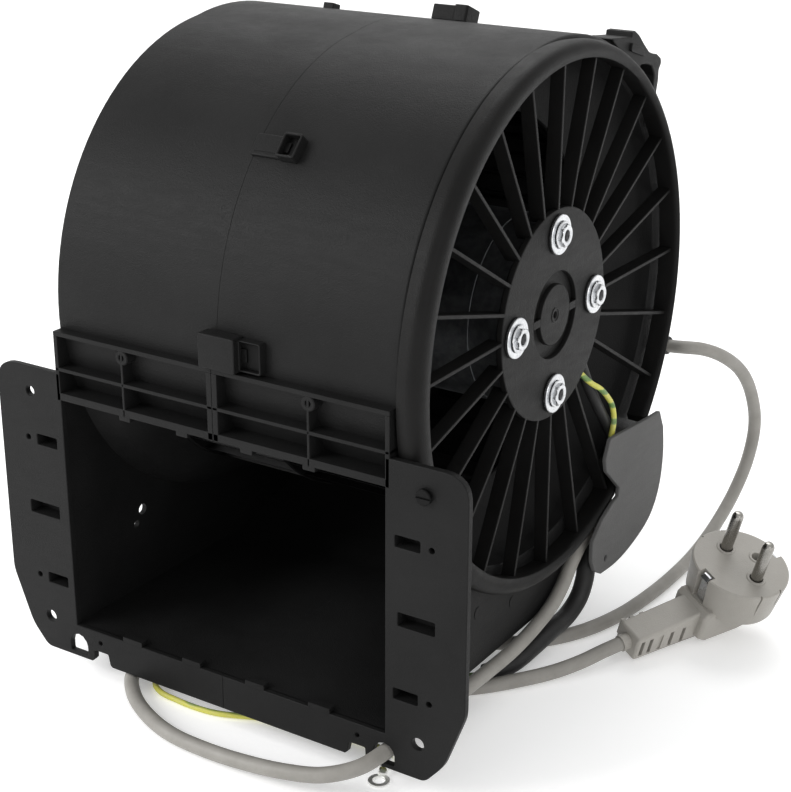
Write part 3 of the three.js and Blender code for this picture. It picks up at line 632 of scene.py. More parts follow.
def cheek(shape):
    """side face beside the outlet, between the tongue and the duct floor"""
    rows = []
    for k in range(19):
        z = Z_OPEN + (Z_DUCT - Z_OPEN) * k / 18
        a = A_TONGUE + (math.degrees(math.atan2(Z_DUCT, Y_FRONT)) + 360 - A_TONGUE) * k / 18
        throat, front = polar(BACK_X[-1][0], a), (Y_FRONT, z)
        row = side_section(front, a, X_SIDE - 0.02)
        row += [(X_CHEEK, *p) for p in (throat, Vector(throat).lerp(Vector(front), 0.5), front)]
        rows.append(row)
    return shape.grid(rows)


WING_EDGE = [(SEAM, -146), (82.5, -146), (82.5, -25.5, 0.8), (119.4, -25.5, 11), (119.4, -127, 18),
             (109.8, -152.4, 22), (101.4, -162, 6), (74.6, -162, 0.8), (73, -160.2, 1),
             (72.8, -156, 0.8), (65, -156, 0.8), (64, -161, 0.6), (62.8, -162, 0.6), (SEAM, -162)]
D_HOLE = [(77, -159.8, 0.7), (87, -159.8, 0.7), (87, -155.4), (86.3, -153.3), (84.6, -151.4),
          (82, -150.6), (79.4, -151.4), (77.7, -153.3), (77, -155.4)]
SLOTS = [(92.6, -59, 11.5, 5), (96.8, -92.4, 17, 6), (92, -126, 11.5, 5)]
POCKETS = [(86, 105.4, -62.6, -55.4), (86, 106.4, -96.4, -88.4), (85.6, 105, -129.4, -122.6)]
SLOT_BORES = [circle(103.5, -59, 1.3), circle(103, -126, 1.3)]
FRAME_RIB = [(Y_FLANGE, Z_OPEN), (-105.4, Z_OPEN), (-108.6, -23.5), (-111.4, -8.6), (Y_FLANGE, -8.6)]


def outlet_frame(shape):
    """wing with its holes and blind slots, lip, ribbed frame, bosses and standing ribs"""
    holes = [circle(100.5, -37, 2.3, 32), circle(98, -145.8, 2.8, 32), fillet(D_HOLE, 3),
             circle(69, -151.4, 1.1), *SLOT_BORES]
    holes += [fillet(rect(*slot), 3, 0.7) for slot in SLOTS]
    shape.plate(fillet(WING_EDGE, 8), holes, Y_FLANGE, Y_FLANGE + 3, "y", 0.4, 2)
    for (x0, x1, z0, z1), slot in zip(POCKETS, SLOTS):
        bores = [fillet(rect(*slot), 3, 0.7)]
        bores += [bore for bore in SLOT_BORES if z0 < bore[0][1] < z1]
        shape.plate(fillet(rect((x0 + x1) / 2, (z0 + z1) / 2, x1 - x0, z1 - z0), 3, 0.5), bores,
                    Y_FLANGE + 2.6, Y_FLANGE + 7.2, "y", 0.25)
        shape.block(x0 + 0.2, x1 - 0.2, Y_FLANGE + 7, Y_FLANGE + 8.2, z0 + 0.2, z1 - 0.2, 0.3)
    for z0, z1, y1 in ((-37.6, -34.2, -105.4), (-24.3, -22.7, -109), (-8.6, -6.6, -111.3)):
        shape.block(SEAM, 84.5, Y_FLANGE, y1, z0, z1, 0.35)
    for x0, x1 in ((SEAM, 2.7), (82.4, 84.5), (46.4, 47.6)):
        shape.plate(FRAME_RIB, [], x0, x1, "x", 0.3)
    shape.turned([(0, 4), (1.25, 4), (1.3, 0.3), (1.6, 0), (2.9, 0), (3.3, 0.4), (3.4, 6.6), (0, 6.6)],
                 (47, Y_FLANGE - 0.05, -11.4), (0, 1, 0))
    for x0, x1, z0, z1 in ((12, 22, -147, -143.8), (44.5, 55.5, -147, -143.8),
                           (13.5, 19.5, -39.6, -37), (44, 50, -39.6, -37)):
        shape.block(x0, x1, Y_FLANGE, Y_FLANGE + 4, z0, z1, 0.5)
    shape.block(24, 27, -95, -75, Z_TABLE, -147.5, 0.6)
    shape.plate(fillet([(34, Z_TABLE), (58, Z_TABLE), (58, -132.5), (34, -139.5)], 4, 1.5), [],
                42, 45, "x", 0.5)
    return shape


def stiffeners(shape):
    """low moulded webs between the side face and the wing, and ejector marks on the side face"""
    for z in (-62, -92, -124):
        web = [(-114.4, z - 0.8), (-104, z - 0.8), (-104, z + 0.8), (-114.4, z + 0.8)]
        shape.plate(fillet(web, 2, 0.3), [], 85, 88.4, "x", 0.3)
    for a in (248, 262, -84, -70, -10, 12, 34):
        r = min(scroll_radius(a if a < 180 else a - 360) - 9, 131)
        shape.turned([(0, 0), (2.4, 0), (2.8, 0.15), (2.8, 0.5), (0, 0.5)],
                     (85.2, *polar(r, a)), (1, 0, 0), 24)
    return shape


def right_shell():
    half = stiffeners(outlet_frame(cheek(volute())))
    half.piece("shell_right", BLACK, "shell", ["scroll_shell_right"])


def left_shell():
    """the mirrored half, with two holes in its side face and a nub on top"""
    holes = [Shape().turned([(0, 0), (r, 0), (r, 12), (0, 12)], (78, y, z), (1, 0, 0), 24)
             for y, z, r in ((-68.7, -107.6, 2.6), (-73.3, -113.4, 1.7))]
    half = stiffeners(outlet_frame(cheek(volute().drilled(holes))))
    half.join(Shape().block(42.2, 47.6, 115.5, 119.4, -3, 3, 0.5).moved(turn(73)))
    half.mirrored().piece("shell_left", BLACK, "shell", ["scroll_shell_left"])


right_shell()
left_shell()


# ---- shell clips and the hook for the lead ----
def seam_clip(name, angle, x0, x1, height, length, tab=1.4):
    """solid catch on the left, open socket with a snap tongue on the right"""
    r = scroll_radius(angle)
    cut = x0 + (x1 - x0) * 0.62
    s = Shape()
    s.plate(fillet(rect((x0 + cut + 1) / 2, 0, cut + 1 - x0, length * 0.9), 4, 1.2), [],
            r - 0.4, r + tab, "y", 0.5, 2)
    s.block(x0 + 1.5, cut - 1.5, r + tab - 0.3, r + tab + 0.3, -length * 0.28, length * 0.28, 0.25)
    s.plate(fillet(rect((cut + x1) / 2, 0, x1 - cut, length), 4, 1.2),
            [fillet(rect((cut + x1) / 2, 0, x1 - cut - 2, length - 2), 2, 0.5)],
            r - 0.4, r + height, "y", 0.45, 2)
    # floor and snap tongue inside the socket, in the darker plastic: painted shade for the deep hollow
    # of the socket
    shade_well = Shape().block(cut + 0.8, x1 - 0.8, r - 0.3, r + 0.9, -length / 2 + 0.8, length / 2 - 0.8, 0.2)
    shade_well.block(cut + 0.6, cut + 3.4, r, r + 1.8, -length * 0.2, length * 0.2, 0.3)
    shade_well.moved(turn(angle)).piece(f"socket_clip_{name}_well", PAINTED_SHADE_BLACK, "shell")
    s.moved(turn(angle)).piece(f"socket_clip_{name}", BLACK, "shell", [f"seam_clip_{name}"])


seam_clip("upper", 137, -1.3, 21.8, 4.5, 11)
seam_clip("top", 68, 4.7, 22.8, 7, 12, 6.5)
seam_clip("rear", 20, -9, 16, 5, 12)
seam_clip("low", -52, -9, 16, 5, 12)


def front_clip():
    """the same clip, upright on the ribbed frame"""
    front = Shape()
    front.plate(fillet(rect(4.5, 1.2, 18, 14.6), 4, 1), [], -119.4, -112.9, "y", 0.5)
    front.plate(fillet(rect(18.6, 1.2, 11, 13), 4, 1), [fillet(rect(18.6, 1.2, 9.4, 11.4), 2, 0.5)],
                -116.4, -111, "y", 0.4)
    # floor and snap tongue inside the socket, in the darker plastic: painted shade for the deep hollow
    # of the socket
    shade_well = Shape().block(13.8, 23.4, -114.2, -112.4, -4.4, 6.8, 0.2)
    shade_well.block(13.6, 16.6, -115, -112.6, -1.6, 4, 0.3)
    shade_well.piece("socket_clip_front_well", PAINTED_SHADE_BLACK, "shell")
    front.piece("socket_clip_front", BLACK, "shell", ["seam_clip_front"])


front_clip()
HOOK = [(60, 106.6, 1), (81.3, 104.4, 0.6), (81.6, 106.5, 0.7), (85.2, 106.5, 1.5),
        (89.6, 104.1, 2), (95.4, 99.3, 3), (101.2, 95, 3), (105.7, 93.6, 1.5), (110.1, 92.7, 3),
        (114.3, 90.3, 2), (114.9, 88, 1.4), (112.6, 85, 1), (112.6, 80.6, 3), (111.4, 76, 3),
        (110.6, 69.5, 1), (106.8, 68.8, 1), (105.4, 72.2, 2), (107, 78, 3), (107.6, 84, 3),
        (104, 88.4, 3), (98, 90, 3), (92.5, 90.4, 1.5), (90, 86, 0.8), (86.6, 88.4, 1),
        (76, 95.8, 1)]


def lead_hook():
    hook = Shape().plate(fillet(HOOK, 4), [], 70, 83, "x", 0.8, 3)
    hook.plate(fillet([(79, 98.5), (95, 93.6), (92, 98), (80, 102.2)], 3, 1.2), [], 82.4, 84.2, "x", 0.5)
    hook.block(62.5, 70.6, 78, 84, 94.5, 103.2, 0.8)
    hook.piece("lead_catch", BLACK, "shell", ["lead_hook"])


lead_hook()


# ---- right guard ----
X_HUB, N_SPOKE = 92.0, 24
A_GAP = 315  # the spoke that the wiring cover takes the place of
R_RIM = 118.2
RING = [(112, 86), (111.3, 92), (111.1, 93.6), (111.5, 94.8), (112.6, 95.6), (114, 96), (115.4, 95.9),
        (116.8, 95.2), (117.8, 93.9), (118.3, 92), (118.4, 90), (117.8, 86)]


def off_centre(x, y, z):
    """moves the rim off the hub's centre, its mouth more than its outside, clear of the wing"""
    t = max(0, min(1, (R_RIM - math.hypot(y, z)) / 7))
    y, z = y + 2.4 + 3.8 * t, z - 4.2 - 0.8 * t
    return x, max(y, -113.9) if -61.5 < z < -23.7 else y, z


def right_guard():
    guard = Shape().lathe(RING, 150, -40, 344)
    guard.v = [off_centre(*p) for p in guard.v]
    guard.lathe([(0, 89), (45.4, 89), (46, 89.6), (46, 91.3), (45.8, 91.8), (45.3, 92), (32, 92),
                 (19.4, 92), (19.1, 91.9), (18.9, 91.6), (18.8, 89.9), (16, 89.6), (13.3, 89.9),
                 (13.2, 91.6), (13, 91.9), (12.7, 92), (4, 92), (1.9, 92), (1.6, 91.9), (1.4, 91.6),
                 (1.2, 90.9), (0, 90.8)], 120)
    for sign in (-1, 1):
        guard.block(90.6, 91.98, sign * 16 - 3, sign * 16 + 3, -1.7, 1.7, 0.25)
    guard.lathe([(2.6, 91.8), (2.6, 92.15), (3.0, 92.25), (3.4, 92.15), (3.4, 91.8)], 32)
    for k in range(N_SPOKE):
        a = 360 / N_SPOKE * k
        if a == A_GAP:
            continue
        reach = 112.4 + polar(6.2, a)[0] - polar(5, a)[1]
        fin = Shape().plate([(X_HUB - 7.4, 44), (86.2, reach), (92.4, reach), (X_HUB - 0.1, 44)], [],
                            -0.8, 0.8, "z", 0.32, 2)
        guard.join(fin.moved(turn(a)))
    guard.piece("guard_right", GUARD, "guard", ["inlet_guard_right"])


right_guard()


# ---- left guard ----
def left_guard():
    """flat guard set into the left side face, with two rings across its spokes"""
    x = -82.4  # its inner face
    guard = Shape().lathe([(104.4, x), (107.6, x), (107.9, x - 0.5), (107.8, x - 2), (107.2, x - 2.6),
                           (105.1, x - 2.6), (104.5, x - 2.1)], 150)
    guard.lathe([(0, x - 0.2), (23.6, x - 0.2), (24, x - 0.6), (24, x - 2.2), (23.5, x - 2.6),
                 (15, x - 2.6), (14.4, x - 2.2), (10.6, x - 2.2), (10, x - 2.6), (0, x - 2.6)], 72)
    for k in range(N_SPOKE):
        fin = Shape().plate([(x - 2.5, 22), (x - 2.5, 105.4), (x - 0.1, 105.4), (x - 0.1, 22)], [],
                            -0.8, 0.8, "z", 0.3, 1)
        guard.join(fin.moved(turn(360 / N_SPOKE * k)))
    for r in (48, 74):
        guard.lathe([(r, x - 0.4), (r + 1.6, x - 0.4), (r + 1.6, x - 2.2), (r, x - 2.2)], 96)
    guard.piece("guard_left", GUARD, "guard", ["inlet_guard_left"])


left_guard()


# ---- wiring cover ----
RIM = [(107.9, -86.3), (109.8, -100), (108.4, -114), (104, -124), (96, -131.6), (77, -138.2),
       (60, -140.4), (45, -139.6)]
COVER_RIM = [(p.x, p.y) for p in smooth_line([(*p, 0) for p in RIM], per=5)]
COVER_EDGE = fillet([(102.6, -76.4, 0.8)] + COVER_RIM +
                    [(38, -135.6, 4), (34.6, -129, 4), (34.4, -119, 4), (44, -111.2, 5),
                     (54, -106.8, 3), (59.8, -105.2, 0.6), (60.4, -101, 0.8),
                     (47.4, -88.6, 2), (46.4, -82.5, 2), (51.2, -73.4, 2), (75.9, -74.9)], 4)


def graded(shape):
    """cuts the faces along a grid so that the form can be bent"""
    bm = bmesh.new()
    for p in shape.v:
        bm.verts.new(p)
    bm.verts.ensure_lookup_table()
    for face in shape.f:
        bm.faces.new([bm.verts[i] for i in face])
    for normal in ((0, 1, 0), (0, 0, 1)):
        for d in range(-142, 112, 5):
            bmesh.ops.bisect_plane(bm, geom=bm.verts[:] + bm.edges[:] + bm.faces[:],
                                   plane_co=Vector(normal) * d, plane_no=normal)
    bm.verts.index_update()
    shape.v = [tuple(p.co) for p in bm.verts]
    shape.f = [tuple(p.index for p in face.verts) for face in bm.faces]
    bm.free()
    return shape


def sloped(x, y, z):
    """lets the plate fall with the spokes inside the rim"""
    return x - max(0, (118 - math.hypot(y, z)) / 72) * 3.6, y, z


def wiring_cover():
    """sloped plate and the wall along its outer edge"""
    cover = graded(Shape().plate(COVER_EDGE, [circle(49, -133, 1.5, 20)], 96.3, 98.4, "x", 0.5, 2))
    cover.v = [sloped(*p) for p in cover.v]
    wall = COVER_RIM[2:34]
    inside = [(y * (1 - 1.8 / math.hypot(y, z)), z * (1 - 1.8 / math.hypot(y, z))) for y, z in wall]
    cover.plate(wall + inside[::-1], [], 86, 97.2, "x", 0.25, 1)
    cover.piece("wiring_cover_plate", COVER, "cover", ["wiring_cover"])


wiring_cover()


# ---- fasteners ----
WASHER = [(2.6, 92.3), (8.4, 92.3), (8.6, 92.5), (8.6, 93.4), (8.35, 93.7), (2.9, 93.7), (2.6, 93.4)]
NUT_FLANGE = [(2.45, 94), (5.8, 94), (6.0, 94.2), (5.9, 94.5), (5.2, 94.8), (2.45, 94.8)]
NUT_BODY = [(2.45, 94.4), (5.02, 94.4), (5.02, 95.5), (4.75, 96.1), (4.3, 96.4), (2.9, 96.4),
            (2.45, 96.1)]
R_STUDS = 35.2


def hexagon(profile, flat=4.35):
    """closed profile of (radius, x) trimmed to a hexagon with that half width"""
    rows = []
    for a in (360 * i / 96 for i in range(96)):
        cap = flat / math.cos(math.radians((a % 60) - 30))
        rows.append([(x, *polar(min(r, cap), a)) for r, x in profile])
    return Shape().grid(rows, wrap=True)


def hub_fastening(number, angle, tilt):
    """threaded stud with its washer and flange nut"""
    y, z = polar(R_STUDS, angle)
    at, out = (0, y, z), (1, 0, 0)
    thread = [(2.05 + 0.16 * (k % 2), 85 + 0.35 * k) for k in range(32)]
    stud = Shape().turned([(0, 84.9), *thread, (1.8, 96.4), (0.9, 96.6), (0, 96.2)], at, out, 28)
    stud.piece(f"stud_{number}", DARK_STEEL, "steel", [f"motor_stud_{number}"], weighted=False)
    washer = Shape().turned(WASHER, at, out, 64)
    washer.piece(f"flat_washer_{number}", ZINC, "zinc", [f"washer_{number}"])
    nut = Shape().turned(NUT_FLANGE, at, out, 48)
    nut.join(hexagon(NUT_BODY).moved(shift(*at) @ turn(tilt)))
    nut.piece(f"flange_nut_{number}", ZINC, "zinc", [f"nut_{number}"], sharp=24)


for number, (angle, tilt) in enumerate(((90, 17), (180, 43), (270, 5), (0, 29)), 1):
    hub_fastening(number, angle, tilt)


def wing_screw():
    screw = Shape().turned([(0, 0), (3.0, 0), (3.35, 0.35), (3.4, 0.9), (3.3, 1.6), (1.95, 1.9),
                            (1.9, 11.2), (0, 11.2)], (100.5, Y_FLANGE - 2.2, -37), (0, 1, 0), 40)
    slot = Shape().block(97, 104, Y_FLANGE - 3, Y_FLANGE - 1.5, -37.45, -36.55, 0.05)
    screw.drilled([slot]).piece("wing_screw", PAINTED_SHADE_BLACK, "steel", ["flange_screw"], sharp=28)


wing_screw()


# ---- rear lead outlet ----
GLAND_NOSE = [(3.7, 60), (6.6, 60), (6.9, 61), (6.9, 62.4)]
for x, r in ((63, 6.3), (67.6, 5.9), (72.2, 5.5), (76.8, 5.1)):  # its rings grow thinner
    GLAND_NOSE += [(r, x), (max(4.95, r - 0.2), x + 2), (r + 0.1, x + 2.4), (r + 0.1, x + 4)]
GLAND_NOSE += [(4.7, 81.4), (4.6, 84.4), (4.3, 85), (3.7, 85)]


def lead_gland():
    """ribbed box on the band with the bend guard of the second lead"""
    r = scroll_radius(GLAND_A) + 0.6
    gland = Shape().block(34, 62, r, r + 22.3, -9, 9, 1.6)
    gland.turned(GLAND_NOSE, (0, scroll_radius(GLAND_A) + GLAND_H, 0), (1, 0, 0), 40)
    for x in (40, 48, 56):
        gland.block(x - 0.8, x + 0.8, r - 0.2, r + 22.9, -7.6, 7.6, 0.4)
    gland.moved(turn(GLAND_A)).piece("lead_gland", BLACK, "shell", ["lead_outlet"])


lead_gland()


# ---- inside the wiring cover ----
def terminal_strip():
    strip = Shape().block(-3.8, 3.8, -13, 13, -6.5, 6.5, 0.6)
    for y in (-8.5, 0, 8.5):
        strip.turned([(1.5, 3.4), (2.4, 3.4), (2.4, 4.3), (2.1, 4.6), (1.5, 4.6)], (0, y, 0),
                     (1, 0, 0), 24)
    strip.moved(shift(89.9, 91.5, -98) @ turn(-40))
    strip.piece("terminal_strip", NYLON, "bakelite", ["terminal_block"])


terminal_strip()
MOTOR_LEADS = [(86.6, 35.5, -31.6), (87.6, 42, -44), (88.4, 51, -57), (89, 61, -70),
               (89.4, 69, -81), (89.6, 74.5, -89)]
MOTOR_EARTH = [(88.6, 31.5, -36), (92, 37.6, -42.6), (93, 45.1, -47.4), (93.2, 52.9, -53.8),
               (93.2, 58.8, -60.4), (93, 61.8, -69), (92.6, 60.4, -78), (92.4, 62, -88),
               (92.2, 71, -97.5)]
for name, points, radius, sides, material, slot, node in (
        ("motor_sheath", MOTOR_LEADS, 2.7, 28, SLEEVE, "lead", "motor_lead_sheath"),
        ("motor_earth", MOTOR_EARTH, 1.3, 20, EARTH, "earth", "motor_earth_wire")):
    wire = Shape().tube(smooth_line(points, per=8), radius, sides)
    wire.piece(name, material, slot, [node], weighted=False)


# ---- motor ----
CAN = [(0, 88.7), (37.6, 88.7), (39.4, 88.4), (40.5, 87.8), (41, 86.8), (41, 74), (40.7, 73.8),
       (40.7, 73.2), (41, 73), (41, 47), (40.7, 46.8), (40.7, 46.2), (41, 46), (41, 40), (39.6, 37.4),
       (39, 37), (38.8, 38.5), (38.8, 84.6), (9.6, 84.6), (9.6, 81.5), (0, 81.5)]
BELL = [(9.4, 34), (13.6, 34), (14, 34.4), (14, 36.4), (14.8, 37), (30, 38), (36.8, 38.6),
        (38.2, 39.4), (38.4, 40.2), (38.4, 42), (14, 40.4), (14, 41.5), (9.4, 41.5)]
COIL = [(25, 72.3), (36.2, 72.3), (36.8, 74), (36.6, 78), (35, 80.8), (32, 82), (29, 82),
        (26.4, 80.8), (25, 78)]
STACK = [(24, 48), *((38.4 - 0.12 * (k % 2), 48 + 0.5 * k) for k in range(49)), (24, 72)]
CORE = [(4.3, 50), (8, 50), (8.4, 50.6), (20, 50.6), (20.6, 50), (23, 50), (23.2, 50.2),
        (23.2, 69.8), (23, 70), (20.6, 70), (20, 69.4), (8.4, 69.4), (8, 70), (4.3, 70)]
SHAFT = [(0, -14), (3.5, -14), (4, -13.5), (4, 80.3), (3.5, 80.8), (0, 80.8)]


def bearing(x0, x1):
    """inner ring, shield and outer ring of a ball bearing"""
    return [(4.3, x0), (5.6, x0), (5.9, x0 + 0.3), (7.6, x0 + 0.3), (7.9, x0), (8.9, x0),
            (9.1, x0 + 0.2), (9.1, x1 - 0.2), (8.9, x1), (7.9, x1), (7.6, x1 - 0.3),
            (5.9, x1 - 0.3), (5.6, x1), (4.3, x1)]


for name, profile, sides, material, slot, node, body in (
        ("motor_housing", CAN, 120, GALV, "galvanised", "motor_can", HOUSING),
        ("motor_bell", BELL, 96, GALV, "galvanised", "motor_end_bell", HOUSING),
        ("winding", COIL, 96, COPPER, "copper", "stator_winding", HOUSING),
        ("core_stack", STACK, 96, STEEL, "steel", "stator_core", HOUSING),
        ("ball_bearing_rear", bearing(76.5, 81.2), 64, STEEL, "steel", "bearing_rear", HOUSING),
        ("ball_bearing_front", bearing(34.6, 40.8), 64, STEEL, "steel", "bearing_front", HOUSING),
        ("rotor_core", CORE, 96, STEEL, "steel", "motor_rotor", ROTOR),
        ("shaft", SHAFT, 48, STEEL, "steel", "motor_shaft", ROTOR)):
    Shape().lathe(profile, sides).piece(name, material, slot, [node], body)


# ---- wheel ----
BLADES = 44
HUB_DISC = [(4.3, -11), (11.4, -11), (12, -10.4), (12.6, -6), (14, -2.4), (17, -1.4), (50, -1.5),
            (93.6, -1.2), (94, -0.8), (94, 0.8), (93.6, 1.2), (50, 1.5), (17, 1.4), (14, 2.4),
            (12.6, 6), (12, 10.4), (11.4, 11), (4.3, 11)]


def blade(a):
    """curved blade of even thickness from ring to ring"""
    face, rear = [], []
    for t in (j / 6 for j in range(7)):
        lean = a + 0.9 - 5.2 * t * t
        face.append(polar(84.2 + 9 * t, lean + 0.33))
        rear.append(polar(84.2 + 9 * t, lean - 0.33))
    return Shape().grid([[(x, *p) for p in face + rear[::-1]] for x in (-55, -28, -1, 1, 28, 55)])


def wheel():
    fan = Shape().lathe(HUB_DISC, 120)
    for sign in (1, -1):
        fan.lathe([(83.8, sign * 54.2), (93.8, sign * 54.2), (94, sign * 54.6), (94, sign * 56.6),
                   (93.6, sign * 57), (84.2, sign * 57), (83.6, sign * 56.6)], 120)
    for k in range(BLADES):
        fan.join(blade(360 * k / BLADES))
    for k in range(8):
        rib = Shape().plate([(-5.5, 13), (-1.2, 34), (1.2, 34), (5.5, 13)], [], -0.7, 0.7, "z", 0.25, 1)
        fan.join(rib.moved(turn(45 * k + 22)))
    # the wheel takes the darker plastic: painted shade for the inside of the housing
    fan.piece("wheel", PAINTED_SHADE_BLACK, "wheel", ["impeller"], ROTOR)


def wheel_clamp():
    """split ring round the hub and the bolt that closes it"""
    ring = Shape().lathe([(14.4, 3.6), (17, 3.6), (17.2, 3.8), (17.2, 10.2), (17, 10.4),
                          (14.4, 10.4)], 72, -84, 348)
    ring.piece("clamp_ring", ZINC, "zinc", ["wheel_clamp"], ROTOR)
    bolt = Shape().turned([(0, -2.6), (1.6, -2.6), (1.6, 2.2), (2.7, 2.2), (2.9, 2.5), (2.9, 4),
                           (2.5, 4.6), (1.3, 4.6), (1.2, 3.4), (0, 3.4)], (6.9, -20.4, 0), (0, -1, 0))
    bolt.piece("clamp_bolt", ZINC, "zinc", ["clamp_screw"], ROTOR)


wheel()
wheel_clamp()


# ---- plug, in millimetres in its own frame: x from pin to pin, z out of the face ----
AXES = [Vector(v).normalized() / 0.86 for v in ((0.859, -0.399, -0.32), (0.4268, 0.9037, 0.0189),
                                                (0.282, -0.153, 0.947))]
PLUG_FRAME = shift(154.5, 77.1, -132) @ Matrix(AXES).transposed().to_4x4()
PIN_X, EARTH_Y = 9.5, 8.8  # places of the pins and of the earth hole
Y_RELIEF = -51.3  # end of the strain relief
DISC = [(0, -17), (17.4, -17), (18.0, -16.8), (18.3, -16.2), (19.9, -1.1), (19.75, -0.4), (19.2, 0),
        (0, 0)]
GRIP = [(-19, -14, 0.5), (12, -14, 0.5), (11.4, -20, 2), (6.5, -28, 4), (0, -29.2, 4),
        (-17, -29.6, 1.5), (-21, -27, 2), (-21, -16, 1)]
RELIEF = [(-18, -15, 0.5), (Y_RELIEF, -19.1, 1.6), (Y_RELIEF, -30.1, 1.6), (-18, -29, 0.5)]
PIN_LINE = [(0, -5.7), (2.4, -5.7), (2.4, 16.6), (2.3, 17.4), (2.0, 18.2), (1.5, 18.8), (0.9, 19),
            (0, 19)]
CONTACT = [(16.5, -13.2), (17.3, -13.2), (17.5, -4.6, 2), (19, -2.4, 0.6), (17.6, -0.8, 0.5),
           (16.5, -0.8)]


def cutter(*box):
    return Shape().block(*box, 0.05)


def bore(r, depth, x, y):
    return Shape().turned([(0, -depth), (r, -depth), (r, 1), (0, 1)], (x, y, 0))


def plug_disc():
    """round front of the plug with its holes, guide slots and side marks"""
    tools = [bore(2.4, 12, 0, EARTH_Y), cutter(-3.2, 3.2, 16.2, 22, -18, 1),
             cutter(-3.2, 3.2, -22, -16.2, -13.6, 1), bore(2.75, 6, -PIN_X, 0), bore(2.75, 6, PIN_X, 0)]
    for sign in (-1, 1):
        for y in (-5.4, 4.6):
            tools.append(cutter(*sorted((sign * 18.2, sign * 22)), y, y + 0.8, -18, 1))
    return Shape().turned(DISC, n=120).drilled(tools)


def strain_relief():
    """slotted neck with the socket that the lead enters"""
    tools = []
    for y in (-48.4, -44.2, -39, -33.6, -27.5):
        depth = 5.6 if y == -39 else 4
        for sign in (-1, 1):
            tools.append(cutter(*sorted((sign * depth, sign * 8)), y - 0.9, y + 0.9, -28, -20.5))
    seat = Shape().turned([(0, -3.2), (3.35, -3.2), (3.35, 3.4), (0, 3.4)], axis=(0, 1, 0))
    tools.append(seat.moved(shift(0, Y_RELIEF, -24.45) @ turn(7.2)))
    return Shape().plate(fillet(RELIEF, 4), [], -6.2, 6.2, "x", 1.2, 4).drilled(tools)


def mains_plug():
    plug = plug_disc().plate(fillet(GRIP, 5), [], -9.5, 9.5, "x", 1.6, 4).join(strain_relief())
    for x in (-PIN_X, PIN_X):
        plug.turned([(2.75, -0.6), (2.75, 0.25), (2.95, 0.4), (3.7, 0.4), (4.0, 0.1), (4.0, -0.6)],
                    (x, 0, 0), n=40)
    plug.turned([(2.4, -0.6), (2.4, 0.2), (2.6, 0.35), (3.3, 0.35), (3.6, 0.1), (3.6, -0.6)],
                (0, EARTH_Y, 0), n=40)
    return plug.moved(PLUG_FRAME).piece("mains_plug", PLUG, "plug", ["plug_body"])


def plug_pin(number, x):
    pin = Shape().turned(PIN_LINE, (x, 0, 0), n=40).moved(PLUG_FRAME)
    return pin.piece(f"mains_pin_{number}", PIN, "zinc", [f"plug_pin_{number}"])


def earth_contact(number, sign):
    outline = fillet([(y * sign, *rest) for y, *rest in CONTACT], 4)[::sign]
    contact = Shape().plate(outline, [], -1.9, 1.9, "x", 0.15, 2).moved(PLUG_FRAME)
    return contact.piece(f"earth_contact_{number}", ZINC, "zinc", [f"plug_clip_{number}"])


plug_pieces = [mains_plug(), plug_pin(1, -PIN_X), plug_pin(2, PIN_X), earth_contact(1, 1),
               earth_contact(2, -1)]


# ---- far ends of the second lead and of the earth lead ----
def lead_connector():
    z = Z_TABLE
    shell = Shape().block(-11, 11, 0, 30, z + 0.1, z + 12, 0.7)
    shell.drilled([cutter(x - 1.4, x + 1.4, 20, 34, z + 3, z + 9) for x in (-7, -2.3, 2.3, 7)])
    for y in (4, 7, 10, 13):
        shell.block(-10, 10, y, y + 1.2, z + 11.6, z + 12.3, 0.25)
    shell.block(-3, 3, 16, 29.4, z + 11.8, z + 13, 0.4)
    shell.moved(shift(-77.2, 153.6, 0) @ turn(-18, "Z"))
    return shell.piece("plug_connector", NYLON, "bakelite", ["control_connector"])


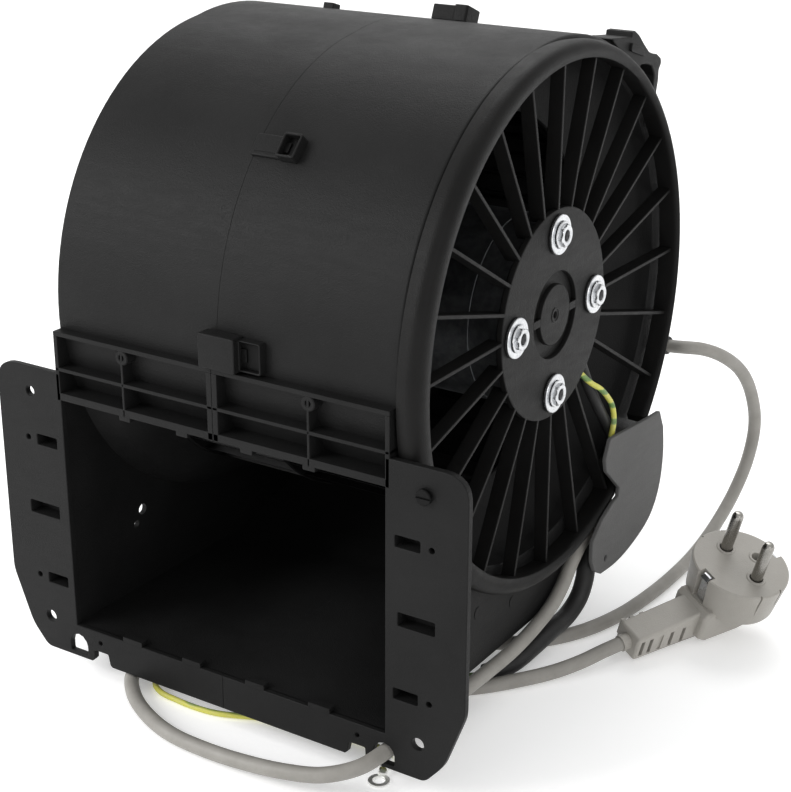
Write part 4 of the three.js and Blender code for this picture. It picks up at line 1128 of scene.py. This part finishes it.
def crimp_terminal():
    """ring with a neck and the barrel that is pressed round the wire"""
    terminal = Shape().turned([(2.6, -0.5), (4.4, -0.5), (4.6, -0.35), (4.6, 0.35), (4.4, 0.5),
                               (2.75, 0.5), (2.6, 0.35)], n=64)
    terminal.block(-1.6, 1.6, 3.6, 6.4, -0.5, 1.5, 0.3)
    terminal.turned([(1.65, 5.6), (2.05, 5.6), (2.2, 5.8), (2.2, 7.6), (1.95, 8.0), (1.95, 10),
                     (2.2, 10.4), (2.2, 12.2), (2.35, 12.5), (1.65, 12.5)], (0, 0, 1.8), (0, 1, 0), 40)
    terminal.moved(shift(80, -117.7, Z_TABLE + 0.6) @ turn(15.4, "Z"))
    return terminal.piece("crimp_terminal", TIN, "zinc", ["ring_terminal"])


connector_pieces = [lead_connector()]
terminal_pieces = [crimp_terminal()]


# ---- floor, light ----
def paper():
    m = Nodes("paper", Roughness=0.85, Specular_IOR_Level=0.1, Emission_Color=(1, 1, 1, 1),
              Emission_Strength=0.3)
    m.colour(m.mix((0.86, 0.86, 0.86), (0.9, 0.9, 0.9), m.noise(3, 3)))
    m.bump([(m.noise(400, 3), 0.00004)])
    return m.mat


floor_mesh = bpy.data.meshes.new("floor")
floor_mesh.from_pydata([(-6, -6, 0), (6, -6, 0), (6, 6, 0), (-6, 6, 0)], [], [(0, 1, 2, 3)])
floor_mesh.materials.append(paper())
floor = new_object("floor", floor_mesh)

sky = bpy.data.worlds.new("studio")
sky.use_nodes = True
sky.node_tree.nodes["Background"].inputs["Color"].default_value = (1, 1, 1, 1)
sky.node_tree.nodes["Background"].inputs["Strength"].default_value = 0.85
bpy.context.scene.world = sky


def softbox(name, place, target, width, height, power):
    """soft rectangular light at a place in metres, turned to a target"""
    data = bpy.data.lights.new(name, "AREA")
    data.shape, data.size, data.size_y, data.energy = "RECTANGLE", width, height, power
    ob = new_object(name, data)
    ob.location = place
    ob.rotation_mode = "QUATERNION"
    ob.rotation_quaternion = (Vector(target) - Vector(place)).to_track_quat("-Z", "Y")


softbox("top_back", (-0.3, 0.9, 1.5), (0, 0, 0.15), 1.2, 0.8, 11)
softbox("front_left", (-1.2, -1.4, 1.0), (0, -0.1, 0.1), 1.0, 1.0, 24)
softbox("right_low", (1.4, -0.9, 0.7), (0, 0, 0.1), 0.8, 0.8, 3)
bpy.context.scene.view_settings.view_transform = "Standard"
